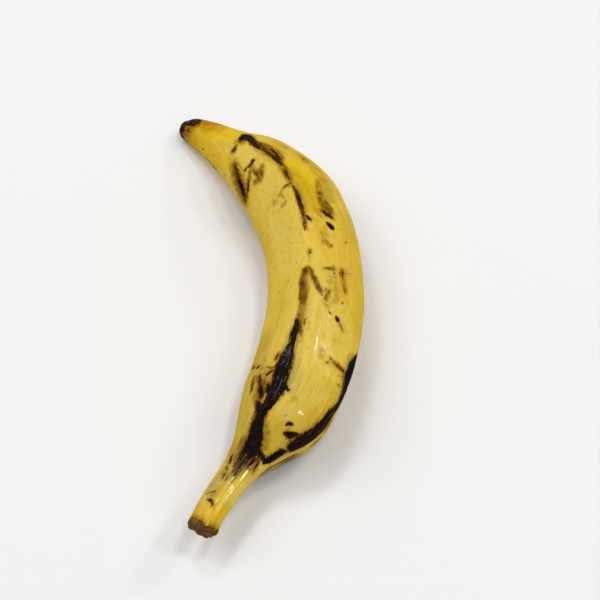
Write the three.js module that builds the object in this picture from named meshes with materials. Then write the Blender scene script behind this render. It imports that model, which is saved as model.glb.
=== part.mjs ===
// Plantain: one whole fruit, lying on its side, as picked.
// Millimetres, +Z up. The fruit rests on z = 0 on its belly, its blossom tip
// and its stem end, and the origin is under the middle of its bounding box.
//
// The body is a single closed loft. A curved centreline runs from the blossom
// tip to the cut stem end, and at every station the section is a rounded
// pentagon: five flat-ish faces meeting at five ridges, as the peel of a
// plantain has. The body is fat in the middle, tapers to a blunt tip at one
// end and draws in to a slim neck and stem at the other.

import * as THREE from 'three';

// ---------------------------------------------------------------- dimensions
const SQUASH = 0.95;          // height of a section against its width
const REST_BAND = 0.30;       // blend height where the peel settles flat on z = 0
const SHARE_D = 0.28;         // place of ridge D between C and B, round the underside
const SHARE_E = 0.60;         // place of ridge E between C and B

// a low shoulder on the outer side, where the tip swells into the body
const SHOULDER_AT = 60;       // from the blossom tip, along the curve
const SHOULDER_REACH = 13;
const SHOULDER_TURN = 4.45;   // ring coordinate: 0 ridge A, 1 C, 2 D, 3 E, 4 B
const SHOULDER_TURN_REACH = 0.36;
const SHOULDER_SHARE = 0.115; // extra radius at its middle

const STEP = 4.0;             // spacing of the rings along the body
const FACE_STEPS = [7, 6, 6, 6, 8]; // mesh columns on each of the five faces

const TIP_ROUND = 2.5;        // length over which the blossom end rounds over
const TIP_START = 0.80;       // ring size at the very tip, against the body there
const STEM_FLARE = 0.10;      // widening of the stem at its cut
const STEM_FLARE_LEN = 5.0;   // length scale of that widening
const STEM_EDGE = 1.2;        // worn edge of the cut
const STEM_EDGE_CUT = 0.06;

// end faces: [ring size, distance beyond the last ring]
const TIP_CAP = [[0.86, 0.45], [0.66, 0.70], [0.40, 0.40]];
const TIP_CAP_CENTRE = 0.15;
const STEM_CAP = [[0.95, 0.35], [0.84, 0.50], [0.45, 0.35]];
const STEM_CAP_CENTRE = 0.25;

const PEEL_COLOUR = 0xd6b441;
const PEEL_ROUGHNESS = 0.45;

// stations from the blossom tip to the stem end:
// [x, y, z, section radius, angle of ridge A, angle A to C, angle B to A,
//  flatness of the faces, sharpness of the ridges]
const STATIONS = [
  [  -68.69,   126.54,   4.76,   4.80,   79.50,  61.06,  76.16, 0.366,  5.08],
  [  -61.03,   122.45,   7.46,   8.24,   78.05,  51.36,  76.67, 0.401,  5.26],
  [  -52.21,   116.16,  10.21,  10.66,   75.56,  48.49,  77.33, 0.446,  5.50],
  [  -43.94,   108.86,  12.64,  12.74,   74.91,  49.41,  77.99, 0.486,  5.75],
  [  -35.95,   100.99,  15.42,  15.41,   77.71,  56.30,  78.65, 0.524,  5.99],
  [  -28.27,    92.70,  18.37,  18.57,   82.28,  68.77,  79.32, 0.560,  6.23],
  [  -21.19,    84.16,  20.87,  21.36,   86.66,  78.32,  80.05, 0.588,  6.42],
  [  -14.73,    75.87,  22.24,  23.18,   91.04,  82.29,  80.96, 0.602,  6.49],
  [   -8.75,    67.87,  22.72,  24.32,   95.21,  83.56,  81.95, 0.606,  6.47],
  [   -3.51,    59.60,  22.82,  25.01,   97.92,  83.92,  82.94, 0.610,  6.31],
  [    0.61,    50.81,  22.62,  25.30,   99.02,  83.98,  83.94, 0.613,  5.95],
  [    3.65,    41.60,  22.26,  25.56,   99.55,  83.94,  84.94, 0.617,  5.52],
  [    5.82,    32.10,  21.98,  25.87,  100.37,  83.79,  86.02, 0.622,  5.17],
  [    7.22,    22.36,  21.96,  26.14,  101.70,  83.47,  87.35, 0.632,  5.02],
  [    7.91,    12.55,  22.10,  26.39,  103.10,  83.03,  88.79, 0.645,  5.00],
  [    7.93,     2.80,  22.29,  26.67,  104.10,  82.54,  90.24, 0.658,  5.00],
  [    7.33,    -6.80,  22.49,  26.94,  104.83,  82.05,  91.64, 0.671,  5.00],
  [    6.22,   -16.20,  22.69,  27.22,  105.56,  81.55,  92.35, 0.684,  5.01],
  [    4.69,   -25.40,  22.86,  27.52,  106.47,  81.03,  91.42, 0.697,  5.08],
  [    2.88,   -34.39,  23.00,  27.79,  107.56,  80.40,  88.73, 0.709,  5.29],
  [    0.87,   -43.21,  23.14,  28.08,  108.53,  79.46,  84.15, 0.722,  5.59],
  [   -1.40,   -51.90,  23.30,  28.26,  108.53,  78.04,  78.14, 0.736,  5.93],
  [   -4.59,   -59.96,  22.91,  27.48,  106.97,  76.27,  71.32, 0.756,  6.35],
  [   -8.69,   -67.03,  21.78,  25.54,  104.73,  74.48,  65.39, 0.787,  6.81],
  [  -13.29,   -73.32,  20.03,  22.19,  102.00,  73.07,  61.57, 0.827,  7.26],
  [  -18.07,   -79.36,  18.29,  17.76,   98.60,  72.31,  59.35, 0.862,  7.64],
  [  -22.93,   -85.58,  17.33,  13.52,   94.70,  72.06,  57.92, 0.869,  7.84],
  [  -27.75,   -92.13,  17.39,  10.77,   90.67,  72.01,  56.98, 0.839,  7.79],
  [  -32.42,   -98.96,  18.21,   9.49,   86.38,  72.00,  56.20, 0.792,  7.64],
  [  -36.95,  -105.83,  19.20,   8.81,   81.54,  72.00,  55.58, 0.744,  7.48],
  [  -41.17,  -112.75,  20.06,   8.29,   76.37,  72.00,  55.05, 0.696,  7.32],
  [  -44.87,  -119.78,  20.67,   7.82,   71.27,  72.00,  54.53, 0.650,  7.17],
  [  -47.42,  -125.72,  21.04,   7.57,   67.72,  72.00,  54.12, 0.615,  7.05],
];

// ------------------------------------------------------------------ geometry
// uniform Catmull-Rom through the station rows: value and slope at u in 0..1
function along(u) {
  const last = STATIONS.length - 1;
  const x = Math.min(Math.max(u, 0), 1) * last;
  const i = Math.min(Math.floor(x), last - 1);
  const f = x - i;
  const p1 = STATIONS[i];
  const p2 = STATIONS[i + 1];
  const p0 = i > 0 ? STATIONS[i - 1] : p1.map((v, k) => 2 * v - p2[k]);
  const p3 = i < last - 1 ? STATIONS[i + 2] : p2.map((v, k) => 2 * v - p1[k]);
  const value = [];
  const slope = [];
  for (let k = 0; k < p1.length; k++) {
    const b = p2[k] - p0[k];
    const c = 2 * p0[k] - 5 * p1[k] + 4 * p2[k] - p3[k];
    const d = -p0[k] + 3 * p1[k] - 3 * p2[k] + p3[k];
    value.push(0.5 * (2 * p1[k] + b * f + c * f * f + d * f * f * f));
    slope.push(0.5 * (b + 2 * c * f + 3 * d * f * f));
  }
  return { value, slope };
}

// table of arc length against u
const SAMPLES = 1200;
const arcTable = [0];
{
  let prev = new THREE.Vector3(...along(0).value.slice(0, 3));
  for (let i = 1; i <= SAMPLES; i++) {
    const p = new THREE.Vector3(...along(i / SAMPLES).value.slice(0, 3));
    arcTable.push(arcTable[i - 1] + p.distanceTo(prev));
    prev = p;
  }
}
const LENGTH = arcTable[SAMPLES];

function uAt(s) {
  let lo = 0;
  let hi = SAMPLES;
  while (hi - lo > 1) {
    const mid = (lo + hi) >> 1;
    if (arcTable[mid] <= s) lo = mid; else hi = mid;
  }
  const f = (s - arcTable[lo]) / (arcTable[hi] - arcTable[lo]);
  return (lo + Math.min(Math.max(f, 0), 1)) / SAMPLES;
}

// how the two ends scale the section
function endScale(s) {
  const a = Math.min(s / TIP_ROUND, 1);
  const tip = TIP_START + (1 - TIP_START) * Math.sqrt(Math.max(1 - (1 - a) ** 2, 0));
  const b = LENGTH - s;
  const flare = 1 + STEM_FLARE * Math.exp(-((b / STEM_FLARE_LEN) ** 2));
  const edge = b < STEM_EDGE ? 1 - STEM_EDGE_CUT * (1 - b / STEM_EDGE) ** 2 : 1;
  return tip * flare * edge;
}

// the peel settles flat where it meets the surface it lies on
function settle(z) {
  if (z <= -REST_BAND) return 0;
  if (z >= REST_BAND) return z;
  return (z + REST_BAND) ** 2 / (4 * REST_BAND);
}

// frame and section of the body at arc length s
function stationAt(s) {
  const { value, slope } = along(uAt(s));
  const T = new THREE.Vector3(slope[0], slope[1], slope[2]).normalize();
  const B = new THREE.Vector3(0, 0, 1).addScaledVector(T, -T.z).normalize();
  const N = new THREE.Vector3().crossVectors(B, T);
  const [x, y, z, radius, angleA, spanAC, spanBA, flat, sharp] = value;
  const rad = Math.PI / 180;
  const A = angleA * rad;
  const AC = spanAC * rad;
  const BA = spanBA * rad;
  const rest = 2 * Math.PI - AC - BA;
  const ridges = [A, A + AC, A + AC + SHARE_D * rest, A + AC + SHARE_E * rest,
    A - BA + 2 * Math.PI, A + 2 * Math.PI];
  const faces = [];
  for (let k = 0; k < 5; k++) {
    const half = (ridges[k + 1] - ridges[k]) / 2;
    faces.push([(ridges[k] + ridges[k + 1]) / 2, 1 - flat * (1 - Math.cos(half))]);
  }
  return { centre: new THREE.Vector3(x, y, z), T, N, B, ridges, faces, sharp,
    radius: radius * endScale(s),
    shoulder: SHOULDER_SHARE * Math.exp(-(((s - SHOULDER_AT) / SHOULDER_REACH) ** 2)) };
}

function ring(st, scale = 1, shift = 0) {
  const points = [];
  for (let k = 0; k < 5; k++) {
    for (let j = 0; j < FACE_STEPS[k]; j++) {
      const phi = st.ridges[k] + (st.ridges[k + 1] - st.ridges[k]) * j / FACE_STEPS[k];
      let sum = 0;
      for (const [psi, dist] of st.faces) {
        const c = Math.cos(phi - psi);
        if (c > 0) sum += (c / dist) ** st.sharp;
      }
      const v = k + j / FACE_STEPS[k];
      const turn = ((v - SHOULDER_TURN + 7.5) % 5) - 2.5;
      const swell = 1 + st.shoulder * Math.exp(-((turn / SHOULDER_TURN_REACH) ** 2));
      const r = st.radius * scale * swell * sum ** (-1 / st.sharp);
      points.push(st.centre.clone()
        .addScaledVector(st.N, r * Math.cos(phi))
        .addScaledVector(st.B, SQUASH * r * Math.sin(phi))
        .addScaledVector(st.T, shift));
    }
  }
  return points;
}

function plantain() {
  const spots = [0, 0.6, 1.4, 2.5, 4.5, 7];
  for (let s = 7 + STEP; s < LENGTH - 6; s += STEP) spots.push(s);
  spots.push(LENGTH - 4, LENGTH - 2.4, LENGTH - STEM_EDGE, LENGTH - 0.5, LENGTH);

  const rings = [];
  const tip = stationAt(0);
  const stem = stationAt(LENGTH);
  for (const [size, out] of [...TIP_CAP].reverse()) rings.push(ring(tip, size, -out));
  for (const s of spots) rings.push(ring(stationAt(s)));
  for (const [size, out] of STEM_CAP) rings.push(ring(stem, size, out));

  const n = rings[0].length;
  const pos = [];
  for (const r of rings) for (const p of r) pos.push(p.x, p.y, settle(p.z));
  const tipCentre = tip.centre.clone().addScaledVector(tip.T, -TIP_CAP_CENTRE);
  const stemCentre = stem.centre.clone().addScaledVector(stem.T, STEM_CAP_CENTRE);
  pos.push(tipCentre.x, tipCentre.y, settle(tipCentre.z));
  pos.push(stemCentre.x, stemCentre.y, settle(stemCentre.z));

  const index = [];
  for (let i = 0; i < rings.length - 1; i++) {
    for (let j = 0; j < n; j++) {
      const a = i * n + j;
      const b = i * n + (j + 1) % n;
      index.push(a, b, a + n, b, b + n, a + n);
    }
  }
  const first = rings.length * n;
  const end = (rings.length - 1) * n;
  for (let j = 0; j < n; j++) {
    const k = (j + 1) % n;
    index.push(first, k, j);
    index.push(first + 1, end + j, end + k);
  }

  const geometry = new THREE.BufferGeometry();
  geometry.setAttribute('position', new THREE.Float32BufferAttribute(pos, 3));
  geometry.setIndex(index);

  // origin under the middle of the bounding box
  geometry.computeBoundingBox();
  const box = geometry.boundingBox;
  geometry.translate(-(box.min.x + box.max.x) / 2, -(box.min.y + box.max.y) / 2, -box.min.z);
  geometry.computeVertexNormals();
  return geometry;
}

// --------------------------------------------------------------------- model
const group = new THREE.Group();
group.name = 'plantain_fruit';

const peel = new THREE.Mesh(
  plantain(),
  new THREE.MeshStandardMaterial({ color: PEEL_COLOUR, roughness: PEEL_ROUGHNESS, metalness: 0 }),
);
peel.name = 'plantain';
group.add(peel);

export default group;
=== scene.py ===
import math

import bpy
import numpy as np
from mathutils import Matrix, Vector


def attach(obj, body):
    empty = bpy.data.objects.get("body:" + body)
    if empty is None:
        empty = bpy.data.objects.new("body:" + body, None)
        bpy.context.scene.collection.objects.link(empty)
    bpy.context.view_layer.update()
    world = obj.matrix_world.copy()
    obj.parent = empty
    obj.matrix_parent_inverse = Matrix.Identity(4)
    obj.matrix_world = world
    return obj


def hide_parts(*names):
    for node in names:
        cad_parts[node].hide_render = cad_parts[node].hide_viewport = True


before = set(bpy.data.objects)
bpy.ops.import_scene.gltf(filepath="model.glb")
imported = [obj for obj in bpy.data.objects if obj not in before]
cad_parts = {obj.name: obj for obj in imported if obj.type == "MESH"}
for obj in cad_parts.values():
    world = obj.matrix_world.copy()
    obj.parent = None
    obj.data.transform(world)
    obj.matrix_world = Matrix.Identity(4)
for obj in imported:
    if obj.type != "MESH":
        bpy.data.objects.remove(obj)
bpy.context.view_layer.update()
MM = 0.001

# ------------------------------------------------------------------ the fruit
# The same loft as the CAD solid, only finer: x, y, z, section radius, angle of
# ridge A, angle A to C, angle B to A, flatness of faces, sharpness of ridges.
STATIONS = np.array([
  [  -68.69,   126.54,   4.76,   4.80,   79.50,  61.06,  76.16, 0.366,  5.08],
  [  -61.03,   122.45,   7.46,   8.24,   78.05,  51.36,  76.67, 0.401,  5.26],
  [  -52.21,   116.16,  10.21,  10.66,   75.56,  48.49,  77.33, 0.446,  5.50],
  [  -43.94,   108.86,  12.64,  12.74,   74.91,  49.41,  77.99, 0.486,  5.75],
  [  -35.95,   100.99,  15.42,  15.41,   77.71,  56.30,  78.65, 0.524,  5.99],
  [  -28.27,    92.70,  18.37,  18.57,   82.28,  68.77,  79.32, 0.560,  6.23],
  [  -21.19,    84.16,  20.87,  21.36,   86.66,  78.32,  80.05, 0.588,  6.42],
  [  -14.73,    75.87,  22.24,  23.18,   91.04,  82.29,  80.96, 0.602,  6.49],
  [   -8.75,    67.87,  22.72,  24.32,   95.21,  83.56,  81.95, 0.606,  6.47],
  [   -3.51,    59.60,  22.82,  25.01,   97.92,  83.92,  82.94, 0.610,  6.31],
  [    0.61,    50.81,  22.62,  25.30,   99.02,  83.98,  83.94, 0.613,  5.95],
  [    3.65,    41.60,  22.26,  25.56,   99.55,  83.94,  84.94, 0.617,  5.52],
  [    5.82,    32.10,  21.98,  25.87,  100.37,  83.79,  86.02, 0.622,  5.17],
  [    7.22,    22.36,  21.96,  26.14,  101.70,  83.47,  87.35, 0.632,  5.02],
  [    7.91,    12.55,  22.10,  26.39,  103.10,  83.03,  88.79, 0.645,  5.00],
  [    7.93,     2.80,  22.29,  26.67,  104.10,  82.54,  90.24, 0.658,  5.00],
  [    7.33,    -6.80,  22.49,  26.94,  104.83,  82.05,  91.64, 0.671,  5.00],
  [    6.22,   -16.20,  22.69,  27.22,  105.56,  81.55,  92.35, 0.684,  5.01],
  [    4.69,   -25.40,  22.86,  27.52,  106.47,  81.03,  91.42, 0.697,  5.08],
  [    2.88,   -34.39,  23.00,  27.79,  107.56,  80.40,  88.73, 0.709,  5.29],
  [    0.87,   -43.21,  23.14,  28.08,  108.53,  79.46,  84.15, 0.722,  5.59],
  [   -1.40,   -51.90,  23.30,  28.26,  108.53,  78.04,  78.14, 0.736,  5.93],
  [   -4.59,   -59.96,  22.91,  27.48,  106.97,  76.27,  71.32, 0.756,  6.35],
  [   -8.69,   -67.03,  21.78,  25.54,  104.73,  74.48,  65.39, 0.787,  6.81],
  [  -13.29,   -73.32,  20.03,  22.19,  102.00,  73.07,  61.57, 0.827,  7.26],
  [  -18.07,   -79.36,  18.29,  17.76,   98.60,  72.31,  59.35, 0.862,  7.64],
  [  -22.93,   -85.58,  17.33,  13.52,   94.70,  72.06,  57.92, 0.869,  7.84],
  [  -27.75,   -92.13,  17.39,  10.77,   90.67,  72.01,  56.98, 0.839,  7.79],
  [  -32.42,   -98.96,  18.21,   9.49,   86.38,  72.00,  56.20, 0.792,  7.64],
  [  -36.95,  -105.83,  19.20,   8.81,   81.54,  72.00,  55.58, 0.744,  7.48],
  [  -41.17,  -112.75,  20.06,   8.29,   76.37,  72.00,  55.05, 0.696,  7.32],
  [  -44.87,  -119.78,  20.67,   7.82,   71.27,  72.00,  54.53, 0.650,  7.17],
  [  -47.42,  -125.72,  21.04,   7.57,   67.72,  72.00,  54.12, 0.615,  7.05],
])
SHIFT = np.array([18.86141, -1.08762, 0.0])   # origin under the box's middle
SQUASH, REST_BAND, SHARE_D, SHARE_E = 0.95, 0.30, 0.28, 0.60
RINGS = 500
COLUMNS = (53, 26, 29, 32, 50)                # A-C, C-D, D-E, E-B, B-A
SHOULDER = (60.0, 13.0, 4.45, 0.36, 0.115)    # mm from the tip, reach, ring coordinate, reach, share

# ring coordinate v: 0 ridge A (top), 1 ridge C, 2 ridge D, 3 ridge E, 4 ridge B
# marks: kind, [(mm from the tip, ring coordinate, half width mm)], strength, softness mm
# K black, N dark brown, M mid brown, S specks, L light scratch, O ochre smudge,
# D halo, Y deep yellow, G orange, E olive (in places painted shade), V grey-tan, T edge torn
# along the fibres, P cream (in places painted sheen and painted light), F freckled,
# R wrinkled, H wet, X raised strand (strength in mm)
MARKS = [
    ('K', [(4.6, 0.918, 1.47), (3.3, 0.572, 2.37), (3.6, 0.197, 2.69), (6.3, 0.130, 2.73), (9.3, 0.120, 3.15), (11.4, 0.082, 3.23), (13.7, 0.168, 1.27)]),
    ('N', [(2.6, 0.115, 1.90), (3.6, 0.644, 2.10), (3.8, 1.014, 1.82), (2.2, 1.308, 1.41)]),
    ('D', [(4.7, 0.341, 2.40), (7.1, 0.760, 3.33), (6.2, 0.995, 2.35)], 1.00, 1.39),
    ('D', [(7.9, 0.519, 1.91), (11.2, 0.519, 1.59), (13.9, 0.380, 1.37)], 0.90, 1.15),
    ('L', [(3.5, 0.207, 1.89), (6.0, 0.072, 2.18), (9.3, 0.067, 2.56), (12.2, 0.101, 1.45)], 0.50, 1.39),
    ('M', [(8.3, 0.918, 0.83), (10.9, 1.019, 0.63)]),
    ('D', [(9.8, 0.534, 3.92), (8.1, 0.981, 2.58)], 0.70, 1.73),
    ('V', [(8.9, 1.178, 1.28)], 0.80, 1.15),
    ('G', [(14.6, 0.115, 2.73), (18.1, 0.135, 2.65)], 1.15, 1.72),
    ('G', [(18.6, 0.091, 4.33), (23.7, 0.077, 3.58), (30.5, 0.082, 2.26)], 0.62, 2.06),
    ('O', [(12.4, 4.918, 2.38), (16.2, 4.856, 2.56), (20.8, 4.851, 2.54), (24.1, 4.822, 2.23)], 0.60, 1.39),
    ('E', [(22.4, 0.538, 2.23), (23.9, 0.077, 2.23)], 0.25, 1.71),
    ('M', [(52.7, 0.404, 1.26), (53.5, 0.505, 2.06), (54.0, 0.558, 1.08)]),
    ('N', [(53.2, 0.462, 0.76), (53.6, 0.519, 0.75)]),
    ('O', [(55.0, 0.625, 1.22), (57.7, 0.750, 0.86)], 0.35, 1.66),
    ('O', [(39.1, 0.808, 0.76), (43.8, 0.745, 0.50)], 0.20, 1.69),
    # dark band along ridge C near the blossom end: a real brown ridge streak, widened and darkened as painted shade
    ('O', [(59.8, 0.692, 1.66), (66.1, 0.702, 2.40), (71.5, 0.750, 2.52), (77.0, 0.812, 2.26), (81.2, 0.889, 1.25)], 0.75, 1.76),
    ('M', [(61.1, 0.683, 1.06), (65.4, 0.726, 1.80), (70.3, 0.774, 2.27), (75.1, 0.817, 2.28), (78.7, 0.851, 1.52), (81.1, 0.870, 0.86)]),
    ('N', [(62.7, 0.697, 0.61), (67.0, 0.736, 1.01), (71.3, 0.769, 1.50), (75.7, 0.808, 1.57), (78.9, 0.837, 1.06), (80.9, 0.861, 0.52)]),
    ('K', [(69.6, 0.755, 0.48), (72.8, 0.779, 0.93), (76.3, 0.808, 0.96), (78.5, 0.832, 0.47)]),
    ('D', [(62.4, 0.736, 1.81), (67.5, 0.798, 2.60), (73.1, 0.837, 2.77), (78.1, 0.861, 2.06)], 0.75, 1.76),
    ('M', [(72.4, 0.428, 0.70), (74.2, 0.514, 1.00), (76.5, 0.630, 1.02), (78.6, 0.736, 1.05), (80.3, 0.837, 0.84)]),
    ('N', [(75.5, 0.567, 0.33), (78.2, 0.707, 0.61), (80.0, 0.808, 0.42)]),
    ('N', [(70.3, 0.255, 0.67), (70.3, 0.317, 1.19), (70.2, 0.399, 0.77), (69.6, 0.510, 0.64), (69.3, 0.562, 0.26)]),
    ('O', [(71.5, 0.365, 0.83), (75.1, 0.361, 0.98), (78.9, 0.351, 1.32), (80.6, 0.385, 1.06)], 1.00, 0.98),
    ('O', [(77.2, 0.188, 0.82), (79.1, 0.255, 1.38), (80.3, 0.341, 1.32), (79.5, 0.486, 0.90)], 1.00, 0.97),
    ('M', [(74.0, 0.361, 0.41), (77.1, 0.351, 0.72), (79.4, 0.356, 0.94), (80.6, 0.389, 0.46)]),
    ('M', [(77.4, 0.202, 0.51), (78.8, 0.255, 0.79), (79.7, 0.312, 0.75)]),
    ('D', [(77.9, 0.264, 1.41), (79.5, 0.346, 1.74)], 0.60, 1.08),
    ('M', [(78.5, 0.471, 0.29), (80.2, 0.447, 0.45)]),
    ('O', [(72.7, 0.442, 0.86), (75.1, 0.529, 1.07)], 0.70, 0.98),
    ('O', [(50.6, 0.288, 1.19), (53.6, 0.212, 1.37), (55.9, 0.154, 1.20)], 0.80, 1.00),
    ('K', [(52.2, 0.111, 1.59), (51.9, 0.034, 2.67), (53.5, -0.019, 2.63), (57.1, -0.010, 1.84), (62.1, 0.024, 1.25), (65.4, 0.034, 0.79), (67.9, 0.029, 0.43)]),
    ('N', [(53.4, 0.192, 0.78), (52.2, 0.106, 2.37), (53.2, -0.010, 3.27), (57.7, -0.014, 2.26), (63.9, 0.029, 1.67)]),
    ('N', [(61.3, 0.029, 1.90), (65.2, 0.038, 1.51), (68.0, 0.014, 1.31), (70.9, -0.010, 1.13), (73.6, -0.024, 1.01), (76.5, -0.048, 1.26), (79.4, -0.062, 1.36), (81.7, -0.077, 1.52), (83.5, -0.077, 0.77)]),
    ('N', [(64.1, 4.990, 1.37), (66.4, 4.952, 0.98)]),
    ('N', [(76.9, 4.880, 0.60), (79.7, 4.875, 1.14)]),
    ('N', [(71.8, 4.861, 0.57), (73.9, 4.846, 1.14), (76.4, 4.841, 1.02), (78.7, 4.846, 0.75)]),
    ('M', [(83.5, 4.875, 0.76), (87.3, 4.889, 0.90), (89.6, 4.909, 0.56)]),
    ('M', [(65.9, 0.000, 1.61), (68.8, -0.029, 1.98), (72.2, -0.058, 2.55), (75.6, -0.087, 2.85), (78.6, -0.111, 2.92), (81.4, -0.106, 1.90), (84.6, -0.087, 1.05)]),
    ('N', [(87.1, 4.928, 0.55), (89.4, 4.928, 1.25), (91.3, 4.938, 0.90), (94.0, 4.947, 0.53)]),
    ('O', [(84.9, 4.913, 1.43), (91.4, 4.923, 1.46), (95.9, 4.947, 0.91)], 0.80, 1.07),
    ('D', [(65.7, 4.986, 1.94), (68.4, 4.942, 2.61), (71.7, 4.889, 3.30), (74.9, 4.851, 3.55), (78.0, 4.837, 2.82)], 0.85, 1.09),
    ('D', [(68.9, -0.005, 2.84), (75.3, -0.077, 3.88), (81.8, -0.091, 2.37), (92.1, -0.062, 1.29)], 0.42, 1.63),
    ('O', [(65.6, 4.913, 1.74), (68.5, 4.851, 1.95), (71.5, 4.793, 1.93), (74.8, 4.740, 2.09)], 0.70, 1.10),
    ('N', [(96.3, 4.952, 0.36), (96.9, 4.990, 0.49), (96.9, 5.024, 0.50), (96.9, 5.053, 0.29)]),
    ('O', [(96.9, 0.048, 0.47), (97.2, 0.111, 0.38), (98.0, 0.149, 0.69)], 0.75, 0.58),
    ('O', [(95.2, 4.962, 0.72), (97.8, 4.971, 0.72)], 0.50, 1.07),
    ('O', [(92.0, 4.812, 0.91)], 0.50, 0.86),
    ('O', [(98.2, 0.212, 0.34), (99.0, 0.163, 0.62), (101.1, 0.149, 0.55)], 0.85, 0.64),
    ('O', [(104.3, 0.130, 0.46), (105.4, 0.183, 0.70), (105.6, 0.226, 0.63)], 0.70, 0.58),
    ('O', [(98.2, 0.332, 0.54), (99.8, 0.346, 0.77)], 0.85, 0.64),
    ('O', [(99.9, 0.255, 0.26), (101.0, 0.317, 0.36)], 0.40, 0.53),
    ('O', [(102.4, 0.144, 0.41), (104.3, 0.135, 0.36)], 0.35, 0.53),
    ('O', [(99.3, 0.510, 0.65)], 0.25, 0.86),
    ('N', [(98.8, 4.938, 0.56), (102.0, 4.938, 0.95), (105.9, 4.942, 1.12), (110.4, 4.942, 1.11), (113.8, 4.947, 0.93), (117.3, 4.952, 0.75)]),
    ('M', [(111.4, 4.942, 1.10), (115.2, 4.952, 1.10), (119.2, 4.962, 1.10), (123.2, 4.962, 1.12), (127.2, 4.957, 0.58)]),
    ('N', [(121.9, 4.966, 0.33), (124.6, 4.966, 0.57), (127.4, 4.962, 0.39)]),
    ('K', [(102.4, 4.933, 0.36), (106.2, 4.942, 0.74), (110.2, 4.947, 0.60), (112.9, 4.952, 0.38)]),
    ('O', [(101.8, 4.909, 1.29), (110.7, 4.918, 0.96), (120.0, 4.933, 0.76)], 0.50, 1.06),
    ('S', [(118.3, 4.909, 0.61), (119.7, 4.894, 1.02), (120.8, 4.875, 0.77)]),
    ('S', [(121.1, 4.875, 0.44), (122.2, 4.870, 0.29)]),
    ('D', [(119.8, 4.889, 0.93)], 0.40, 0.84),
    ('O', [(120.1, 4.832, 0.71), (121.1, 4.760, 0.58)], 0.40, 0.84),
    ('Y', [(39.6, 0.221, 3.91), (30.0, 0.562, 5.15), (18.6, 0.731, 4.28)], 0.75, 5.62),
    ('P', [(36.7, 0.909, 1.63), (42.8, 0.630, 2.47), (55.5, 0.442, 2.29)], 0.40, 3.38),
    ('Y', [(85.8, 4.755, 4.12), (94.5, 4.750, 6.03), (103.3, 4.788, 5.69), (112.2, 4.832, 3.91)], 1.00, 4.32),
    ('G', [(90.3, 4.788, 2.16), (100.8, 4.822, 3.11), (110.8, 4.841, 2.84)], 0.22, 3.22),
    ('E', [(91.6, 4.817, 2.59), (100.8, 4.837, 3.69), (102.3, 4.707, 3.71), (110.9, 4.822, 2.68)], 0.27, 3.22),
    ('L', [(53.2, 0.091, 0.96), (57.8, 0.005, 1.19), (64.6, 0.029, 0.59)], 0.38, 1.11),
    ('Y', [(54.0, 0.769, 3.34), (56.5, 0.466, 3.45)], 0.50, 5.54),
    ('O', [(96.4, 4.380, 0.45), (101.1, 4.476, 1.04), (105.4, 4.524, 1.72), (109.5, 4.529, 2.63), (112.9, 4.500, 3.44)], 1.00, 1.08),
    ('D', [(104.7, 4.505, 0.79), (108.3, 4.524, 1.41), (111.4, 4.519, 2.35), (114.0, 4.476, 2.39)], 0.85, 0.96),
    ('M', [(109.8, 4.524, 0.52), (111.7, 4.510, 1.36), (113.6, 4.481, 1.49), (115.1, 4.447, 0.90)]),
    ('N', [(114.4, 4.630, 0.53), (115.8, 4.567, 1.34), (117.1, 4.505, 1.49), (118.8, 4.428, 0.69)]),
    ('O', [(114.7, 4.702, 1.15), (117.6, 4.678, 1.11), (115.5, 4.380, 0.77)], 0.50, 1.06),
    ('S', [(121.7, 4.591, 0.67), (122.9, 4.553, 1.45), (124.3, 4.514, 1.83), (125.3, 4.490, 0.85)]),
    ('D', [(123.5, 4.536, 1.36)], 0.40, 0.95),
    ('O', [(77.2, 4.212, 2.16), (82.7, 4.202, 2.86), (90.0, 4.236, 2.41), (96.0, 4.240, 1.47)], 0.45, 2.21),
    ('O', [(80.3, 4.240, 1.29), (82.6, 4.255, 1.57)], 1.00, 0.72),
    ('O', [(67.2, 4.606, 2.15), (69.7, 4.462, 2.15)], 0.30, 1.65),
    ('O', [(125.7, 4.649, 0.84), (131.0, 4.678, 0.87)], 0.40, 1.05),
    ('O', [(134.4, 4.721, 0.59), (134.6, 4.663, 0.99), (136.0, 4.611, 1.08)], 0.60, 0.83),
    ('O', [(128.7, 4.731, 0.42), (131.6, 4.707, 0.57), (135.3, 4.697, 0.57)], 0.60, 0.63),
    ('O', [(127.5, 4.635, 0.40), (131.2, 4.620, 0.54)], 0.45, 0.53),
    ('M', [(133.0, 4.678, 0.29), (134.6, 4.644, 0.41), (136.6, 4.625, 0.35)]),
    ('S', [(135.8, 4.579, 0.53)]),
    ('S', [(133.9, 4.712, 0.28)]),
    ('O', [(135.8, 4.596, 0.70)], 0.50, 0.63),
    ('S', [(131.8, 4.281, 0.52)]),
    ('S', [(125.2, 4.389, 0.23)]),
    ('N', [(140.7, 4.923, 0.40), (142.5, 4.928, 0.58), (144.8, 4.928, 0.21)]),
    ('O', [(141.4, 4.933, 0.89)], 0.35, 0.78),
    ('O', [(145.9, 4.933, 0.39), (149.1, 4.928, 0.28)], 0.30, 0.62),
    ('M', [(152.1, 4.952, 0.89), (154.4, 4.981, 1.66), (158.3, 4.986, 1.77), (162.9, 4.986, 2.12), (166.5, 4.966, 2.18), (170.5, 4.962, 2.02), (174.1, 4.952, 1.66), (178.4, 4.947, 1.45), (182.5, 4.938, 1.49), (186.1, 4.918, 1.12), (188.8, 4.899, 0.73)]),
    ('M', [(151.8, 4.947, 0.83), (154.1, 4.909, 1.31), (157.2, 4.875, 1.54), (160.1, 4.832, 1.45), (162.9, 4.793, 1.36), (164.9, 4.750, 1.12), (166.2, 4.726, 0.51)]),
    ('O', [(154.1, 4.909, 1.17), (160.1, 4.832, 1.45), (164.9, 4.755, 1.00)], 0.40, 0.82),
    ('L', [(158.1, 4.952, 0.47), (162.3, 4.928, 0.66), (165.9, 4.913, 0.50)], 0.60, 0.71),
    ('L', [(176.6, 4.938, 0.63), (180.2, 4.938, 0.77), (183.2, 4.933, 0.83)], 0.75, 0.91),
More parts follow.
